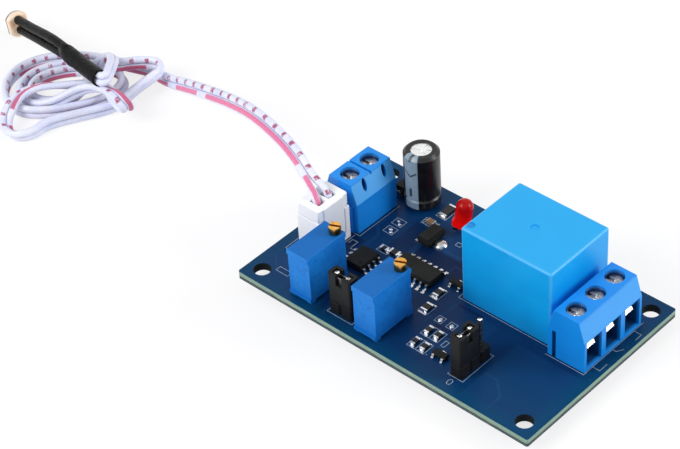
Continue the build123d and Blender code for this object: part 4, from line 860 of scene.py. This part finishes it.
# Copper tracks, standing a hair proud under the mask: width, then the points of each run
tracks = {
    "lift": 0.02,
    "top": [
        (0.5, [(-11.0, -3.9), (-11.0, -7.2), (-13.4, -9.6), (-13.4, -18.4)]),
        (0.5, [(-9.7, -3.9), (-9.7, -10.2), (-8.2, -11.7)]),
        (0.4, [(-6.0, -4.1), (-6.0, -7.4), (1.4, -7.4), (1.4, -9.4)]),
        (0.4, [(-3.5, 2.7), (-3.5, 4.6), (0.6, 4.6), (0.6, 12.8), (-2.6, 16.0), (-6.4, 16.0)]),
        (0.6, [(-19.4, -1.3), (-19.4, 2.6), (-21.3, 4.5), (-21.3, 9.0)]),
        (0.4, [(-14.0, -6.4), (-12.2, -6.4), (-12.2, -12.4)]),
        (0.5, [(16.9, -12.3), (19.8, -12.3), (22.6, -15.1), (22.6, -18.6)]),
        (0.5, [(7.4, -13.0), (7.4, -9.8), (8.6, -8.6), (8.6, -2.0)]),
        (0.4, [(-29.9, -7.0), (-29.9, -12.4), (-27.0, -15.3)]),
        (0.8, [(-8.6, 6.6), (-4.2, 6.6), (-2.4, 8.4), (-2.4, 13.2)]),
        (0.5, [(-25.4, 13.6), (-25.4, 11.8), (-29.8, 11.8)]),
    ],
    "under": [
        (1.4, [(-26.1, 3.3), (-20.0, 3.3), (-16.0, 7.3), (-10.8, 7.3)]),
        (1.4, [(-26.1, 8.4), (-22.0, 12.6), (-20.4, 14.3)]),
        (0.6, [(-18.0, 14.3), (-10.0, 14.3), (-10.0, 12.5)]),
        (0.6, [(-7.6, 12.5), (0.0, 12.5), (4.0, 8.5)]),
        (2.4, [(28.1, 0.4), (22.0, 0.4), (20.0, 1.2)]),
        (2.4, [(28.1, 5.5), (16.0, 5.5), (5.0, 7.1)]),
        (2.4, [(28.1, 10.6), (22.0, 13.0), (20.0, 13.1)]),
        (0.5, [(-24.6, -5.4), (-20.0, -10.0), (-20.0, -16.0)]),
        (0.5, [(-24.6, -3.0), (-12.0, -3.0), (-6.0, -9.0), (-6.0, -16.0)]),
        (0.5, [(-11.6, -15.9), (-11.6, -9.0), (-3.0, -0.4), (3.0, -0.4)]),
        (0.5, [(14.1, -14.8), (8.0, -14.8), (2.0, -8.8), (-4.0, -8.8)]),
        (0.5, [(14.1, -9.8), (14.1, -4.0), (6.0, 4.0)]),
    ],
}


def strip(path, width, z, points, faces, closed=False):  # a flat mitred band along a path
    count = len(path)
    first = len(points)
    for i, (x, y) in enumerate(path):
        here = Vector((x, y))
        before = Vector(path[i - 1]) if i or closed else None
        after = Vector(path[(i + 1) % count]) if i < count - 1 or closed else None
        comes = (here - before).normalized() if before else (after - here).normalized()
        goes = (after - here).normalized() if after else comes
        out = Vector((-(comes.y + goes.y), comes.x + goes.x))
        out = out.normalized() if out.length > 0.01 else Vector((-comes.y, comes.x))
        reach = width / 2 / max(out.dot(Vector((-comes.y, comes.x))), 0.4)
        points.append((x + out.x * reach, y + out.y * reach, z))
        points.append((x - out.x * reach, y - out.y * reach, z))
    for i in range(count if closed else count - 1):
        a, b = first + 2 * i, first + 2 * ((i + 1) % count)
        faces.append((a, a + 1, b + 1, b))


def makeTracks():
    points, faces = [], []
    for width, path in tracks["top"]:
        strip(path, width, boardTop + tracks["lift"], points, faces)
    count = len(faces)
    for width, path in tracks["under"]:
        strip(path, width, boardBottom - tracks["lift"], points, faces)
    faces[count:] = [face[::-1] for face in faces[count:]]
    makePiece("board_tracks", points, faces, boardPaint("trackMask", 0.16), smooth=False)


makeTracks()

# White print on the board: lines of ink a hair above the mask
ink = {
    "width": 0.12,
    "lift": 0.04,
    "lines": [
        [(1.95, 15.4), (1.95, -0.95), (21.75, -0.95), (21.75, 15.4)],
        [(21.85, -2.5), (29.75, -2.5), (29.75, 13.6)],
        [(29.75, -0.1), (31.2, -0.1), (31.2, 1.9)],
        [(29.75, 5.2), (30.5, 5.2), (31.2, 6.4)],
        [(29.75, 11.0), (31.3, 11.0), (31.3, 9.4)],
        [(12.5, -15.9), (12.5, -16.2), (15.7, -16.2), (15.7, -8.3), (12.6, -8.3)],
        [(-13.05, -16.5), (-13.05, -17.5), (-7.45, -17.5), (-7.45, -16.5)],
        [(-21.75, 10.95), (-21.75, 0.35), (-30.1, 0.35)],
        [(-29.75, -5.5), (-29.75, -10.1), (-22.6, -10.1), (-22.6, 0.0)],
        [(-22.1, -2.2), (-22.1, -1.1), (-20.9, -1.1), (-20.9, -2.9)],
        [(-20.9, -3.1), (-19.8, -3.1)],
        [(4.6, -15.25), (4.6, -12.65)],
        [(4.6, -11.75), (4.6, -9.15)],
        [(6.9, -15.2), (6.9, -14.9)],
    ],
    "boxes": [  # x0, x1, y0, y1
        (-27.0, -24.3, -15.4, -14.3), (-19.65, -17.6, 4.05, 5.8), (-19.85, -17.75, 6.55, 8.3),
        (-17.2, -14.9, -0.45, 1.3), (2.75, 6.45, -15.25, -12.65), (2.75, 6.45, -11.75, -9.15),
        (2.45, 3.9, -7.9, -6.4), (5.0, 6.5, -7.9, -6.4), (-2.15, -0.35, -3.8, -1.0),
        (-1.35, 0.65, -7.7, -5.1), (-15.9, -12.9, 9.95, 11.55), (-15.1, -12.9, 13.0, 17.0),
        (-7.25, -6.2, 9.0, 9.9), (7.3, 8.05, -11.9, -10.5),
    ],
    "ring": (14.05, -17.5, 0.42, 0.62),  # centre and radii
    "tones": [(104, 126, 150), (178, 194, 208)],
}


def inkPaint():
    paint = Paint("printedInk", specularIorLevel=0.3)
    spot = paint.place()
    thin = paint.grain(spot, 5.0, 3.0)
    paint.give("baseColor", paint.tones(paint.step(thin, 0.3, 0.7), ink["tones"]))
    paint.give("roughness", 0.55 + (thin - 0.5) * 0.2)
    return paint


def makeInk():
    points, faces = [], []
    z = boardTop + ink["lift"]
    for line in ink["lines"]:
        strip(line, ink["width"], z, points, faces)
    x, y, wide, tall = ink["ring"]
    closed = [[(x0, y0), (x1, y0), (x1, y1), (x0, y1)] for x0, x1, y0, y1 in ink["boxes"]]
    for line in closed + [[(x + wide * c, y + tall * s) for c, s in circle(36)]]:
        strip(line, ink["width"], z, points, faces, True)
    makePiece("board_print", points, faces, inkPaint(), smooth=False)


makeInk()
print("board printed")

# Solder: a wedge where each small part's end or chip's lead meets the board, and the regulator's mound
solder = {
    "parts": [  # centre, direction, length and width of each small chip part
        (3.55, -13.95, "y", 1.8, 1.0), (5.65, -13.95, "y", 1.8, 1.0), (3.55, -10.45, "y", 1.8, 1.0),
        (5.65, -10.45, "y", 1.8, 1.0), (-0.35, -6.4, "y", 2.0, 1.4), (-16.0, 0.4, "x", 1.6, 0.9),
        (-14.0, 15.0, "y", 3.2, 1.6), (-1.25, -2.4, "y", 2.0, 1.25), (-13.9, 0.7, "x", 2.0, 1.25),
        (-14.3, 10.75, "x", 1.8, 1.0),
    ],
    "toes": [  # first lead, step and count of each row, the way its toes point, and the lead's width
        (-11.26, -3.65, 1.27, 0.0, 7, (0, -1), 0.42), (-11.26, 2.35, 1.27, 0.0, 7, (0, 1), 0.42),
        (-19.8, -6.405, 0.0, 1.27, 4, (-1, 0), 0.42), (-13.8, -6.405, 0.0, 1.27, 4, (1, 0), 0.42),
    ],
    "end": (0.5, 0.42),  # how far a fillet reaches and how high it climbs
    "toe": (0.55, 0.2),
    "spotHigh": 0.16,
    "mound": (-9.1, 7.3, 1.3, 0.85),
    "spots": [  # bare pads that took solder but carry nothing: x, y, half sizes
        (-19.2, 7.7, 0.42, 0.3), (-18.5, 7.1, 0.42, 0.3), (-18.9, 5.2, 0.5, 0.34), (-18.3, 4.6, 0.42, 0.3),
        (3.2, -7.15, 0.45, 0.5), (5.75, -7.15, 0.45, 0.5),
    ],
}


def solderDome(x, y, wide, tall, high, points, faces, sides=20, levels=5):
    rings = []
    for j in range(levels):
        rise = math.pi / 2 * j / (levels - 1)
        out = math.cos(rise) if j < levels - 1 else 0.06
        rings.append([(x + wide * out * c, y + tall * out * s, boardTop + high * math.sin(rise))
                      for c, s in circle(sides)])
    ringTube(rings, points, faces, caps=(False, True))


def solderWedge(x, y, way, width, reach, high, points, faces):  # a curved fillet, from (x, y) out along way
    ux, uy = way
    first = len(points)
    profile = [(0.0, high), (0.25, high * 0.62), (0.55, high * 0.28), (1.0, 0.02)]
    for far, up in profile:
        ahead = reach * far
        for s in (-0.5, -0.32, 0.32, 0.5):
            low = up * (1.0 if abs(s) < 0.4 else 0.25)
            spread = width * (1 + 0.25 * far) * s
            points.append((x + ux * ahead - uy * spread, y + uy * ahead + ux * spread, boardTop + low))
    for i in range(len(profile) - 1):
        for k in range(3):
            a = first + i * 4 + k
            faces.append((a, a + 4, a + 5, a + 1))


def makeSolder():
    points, faces = [], []
    for x, y, axis, length, width in solder["parts"]:
        out = length / 2 - 0.02
        for s in (-1, 1):
            way = (s, 0) if axis == "x" else (0, s)
            solderWedge(x + way[0] * out, y + way[1] * out, way, width * 1.02, *solder["end"], points, faces)
    for x, y, dx, dy, count, way, width in solder["toes"]:
        for i in range(count):
            solderWedge(x + dx * i - way[0] * 0.1, y + dy * i - way[1] * 0.1, way, width * 1.35,
                        *solder["toe"], points, faces)
    for x, y, wide, tall in solder["spots"]:
        solderDome(x, y, wide, tall, solder["spotHigh"], points, faces)
    x, y, radius, high = solder["mound"]
    solderDome(x, y, radius, radius, high, points, faces, 28, 7)
    makePiece("solder_fillets", points, faces, solderPaint())


def solderPaint():
    paint = Paint("brightSolder", metallic=1.0)
    spot = paint.place()
    cloud = paint.grain(spot, 1.5, 4.0, 0.6)
    dull = paint.step(cloud, 0.42, 0.62)
    colour = paint.shade(dull, (0.78, 0.79, 0.8), (0.34, 0.35, 0.36))
    return paint.done(colour, 0.16 + dull * 0.2, cloud, 0.06)


makeSolder()
print("solder laid")

# Guard plates: the bright lips of the clamps, seen at the top of each wire entry
guard = {"root": 1.6, "bend": 2.15, "reach": 3.12, "high": 5.35, "low": 3.95, "thick": 0.3,
         "half": 1.1, "round": 0.08}


def makeGuards():
    top, low, t, half = (guard[k] for k in ("high", "low", "thick", "half"))
    for side, way, count in (("output", 1, 3), ("input", -1, 2)):
        near, bend, tip = (terminals[side]["x"] + way * guard[k] for k in ("root", "bend", "reach"))
        profile = [  # a tongue out of the clamp's top that slopes down and forward to a rounded lip
            (near, top), (bend, top), (tip - way * 0.12, low + 0.18), (tip, low),
            (tip - way * 0.05, low - 0.18), (tip - way * 0.2, low - 0.22), (tip - way * 0.34, low - 0.08),
            (bend - way * 0.12, top - t), (near, top - t),
        ]
        cx, cz = (sum(values) / len(profile) for values in zip(*profile))
        rows = [(-half, 0.012), (guard["round"] - half, 0.0), (half - guard["round"], 0.0), (half, 0.012)]
        for i in range(1, count + 1):
            clamp = f"{side}_clamp_{i}"
            y = sum(corner[1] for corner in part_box(clamp)) * 500
            rings = [[(px + (cx - px) * inset, y + v, boardTop + pz + (cz - pz) * inset)
                      for px, pz in profile] for v, inset in rows]
            points, faces = [], []
            ringTube(rings, points, faces, way)
            makePiece(f"{side}_guard_{i}", points, faces, steelPaint, clamp, False)


makeGuards()
print("clamp lips made")

# Indicator lamp, with a painted glow low down standing in for light passing through its epoxy
# glow: painted light, the colour of a faint glow low in the epoxy
lamp = {"red": [(0.4, 0.001, 0.001), (0.55, 0.003, 0.002)], "core": (0.5, 0.003, 0.003),
        "glow": [(0.02, 0.0, 0.0), (1.0, 0.004, 0.001)]}


def lampPaint():
    paint = Paint("lampEpoxy", specularIorLevel=0.12, coatWeight=0.1, coatRoughness=0.05)
    spot = paint.place()
    z = paint.axes(spot)[2]
    swirl = paint.grain(spot, 0.7, 2.0)
    colour = paint.shade(paint.step(swirl), *lamp["red"])
    core = paint.step(z + (swirl - 0.5) * 1.2, boardTop + 3.1, boardTop + 2.3)
    colour = paint.shade(core * 0.55, colour, lamp["core"])
    # painted light: a faint glow, strongest low down
    glow = paint.step(z + (swirl - 0.5) * 1.2, boardTop + 5.0, boardTop + 2.2)
    paint.give("emissionColor", paint.shade(glow, *lamp["glow"]))
    paint.give("emissionStrength", 0.26)
    return paint.done(colour, 0.14 + swirl * 0.08, swirl, 0.05)


dress(["lamp_lens"], lampPaint())

# Capacitor sleeve: black film with a pale stripe down one side, over its shoulder and in to the bare top
film = {
    "x": -19.2,
    "y": 14.35,
    "foot": 4.5,
    "stripeTurn": -88.0,
    "stripeHalf": 27.0,
    "black": [(9, 10, 12), (19, 20, 22)],
    "stripe": [(126, 146, 160), (154, 174, 186)],
    "mark": (16, 20, 28),
    "vee": (7.1, 0.75),  # height up the sleeve, slope
    "dashes": (7.4, 3.85),  # height between the two, half their spacing
}


def filmPaint():
    paint = Paint("shrunkFilm", specularIorLevel=0.32, coatWeight=0.12, coatRoughness=0.2)
    spot = paint.place()
    x, y, z = paint.axes(spot)
    turn = math.radians(film["stripeTurn"])
    out = paint.node("CombineXYZ", sockets={0: x - film["x"], 1: y - film["y"]})
    aim = paint.node("VectorMath", {"operation": "NORMALIZE"}, {0: out})
    facing = paint.dot(aim, (math.cos(turn), math.sin(turn), 0.0))
    aside = paint.dot(out, (-math.sin(turn), math.cos(turn), 0.0))
    half = film["stripeHalf"]
    stripe = paint.step(facing, math.cos(math.radians(half)), math.cos(math.radians(half - 2.5)))
    up = z - film["foot"]
    (tip, slope), (middle, apart) = film["vee"], film["dashes"]
    vee = paint.step(abs(up - tip - abs(aside) * slope), 0.24, 0.14) * paint.step(abs(aside), 1.3, 1.2)
    dash = paint.step(abs(aside), 0.34, 0.24) * paint.step(abs(abs(up - middle) - apart), 0.95, 0.85)
    mist = paint.grain(spot, 0.8, 2.0)
    dark = paint.tones(paint.step(mist), film["black"])
    pale = paint.tones(mist, film["stripe"])
    pale = paint.shade((vee | dash) * 0.85, pale, tint(*film["mark"]))
    colour = paint.shade(stripe, dark, pale)
    return paint.done(colour, 0.28 + mist * 0.12, paint.grain(spot, 1.2, 2.0), 0.04)


dress(["capacitor_sleeve"], filmPaint())
print("lamp and capacitor finished")
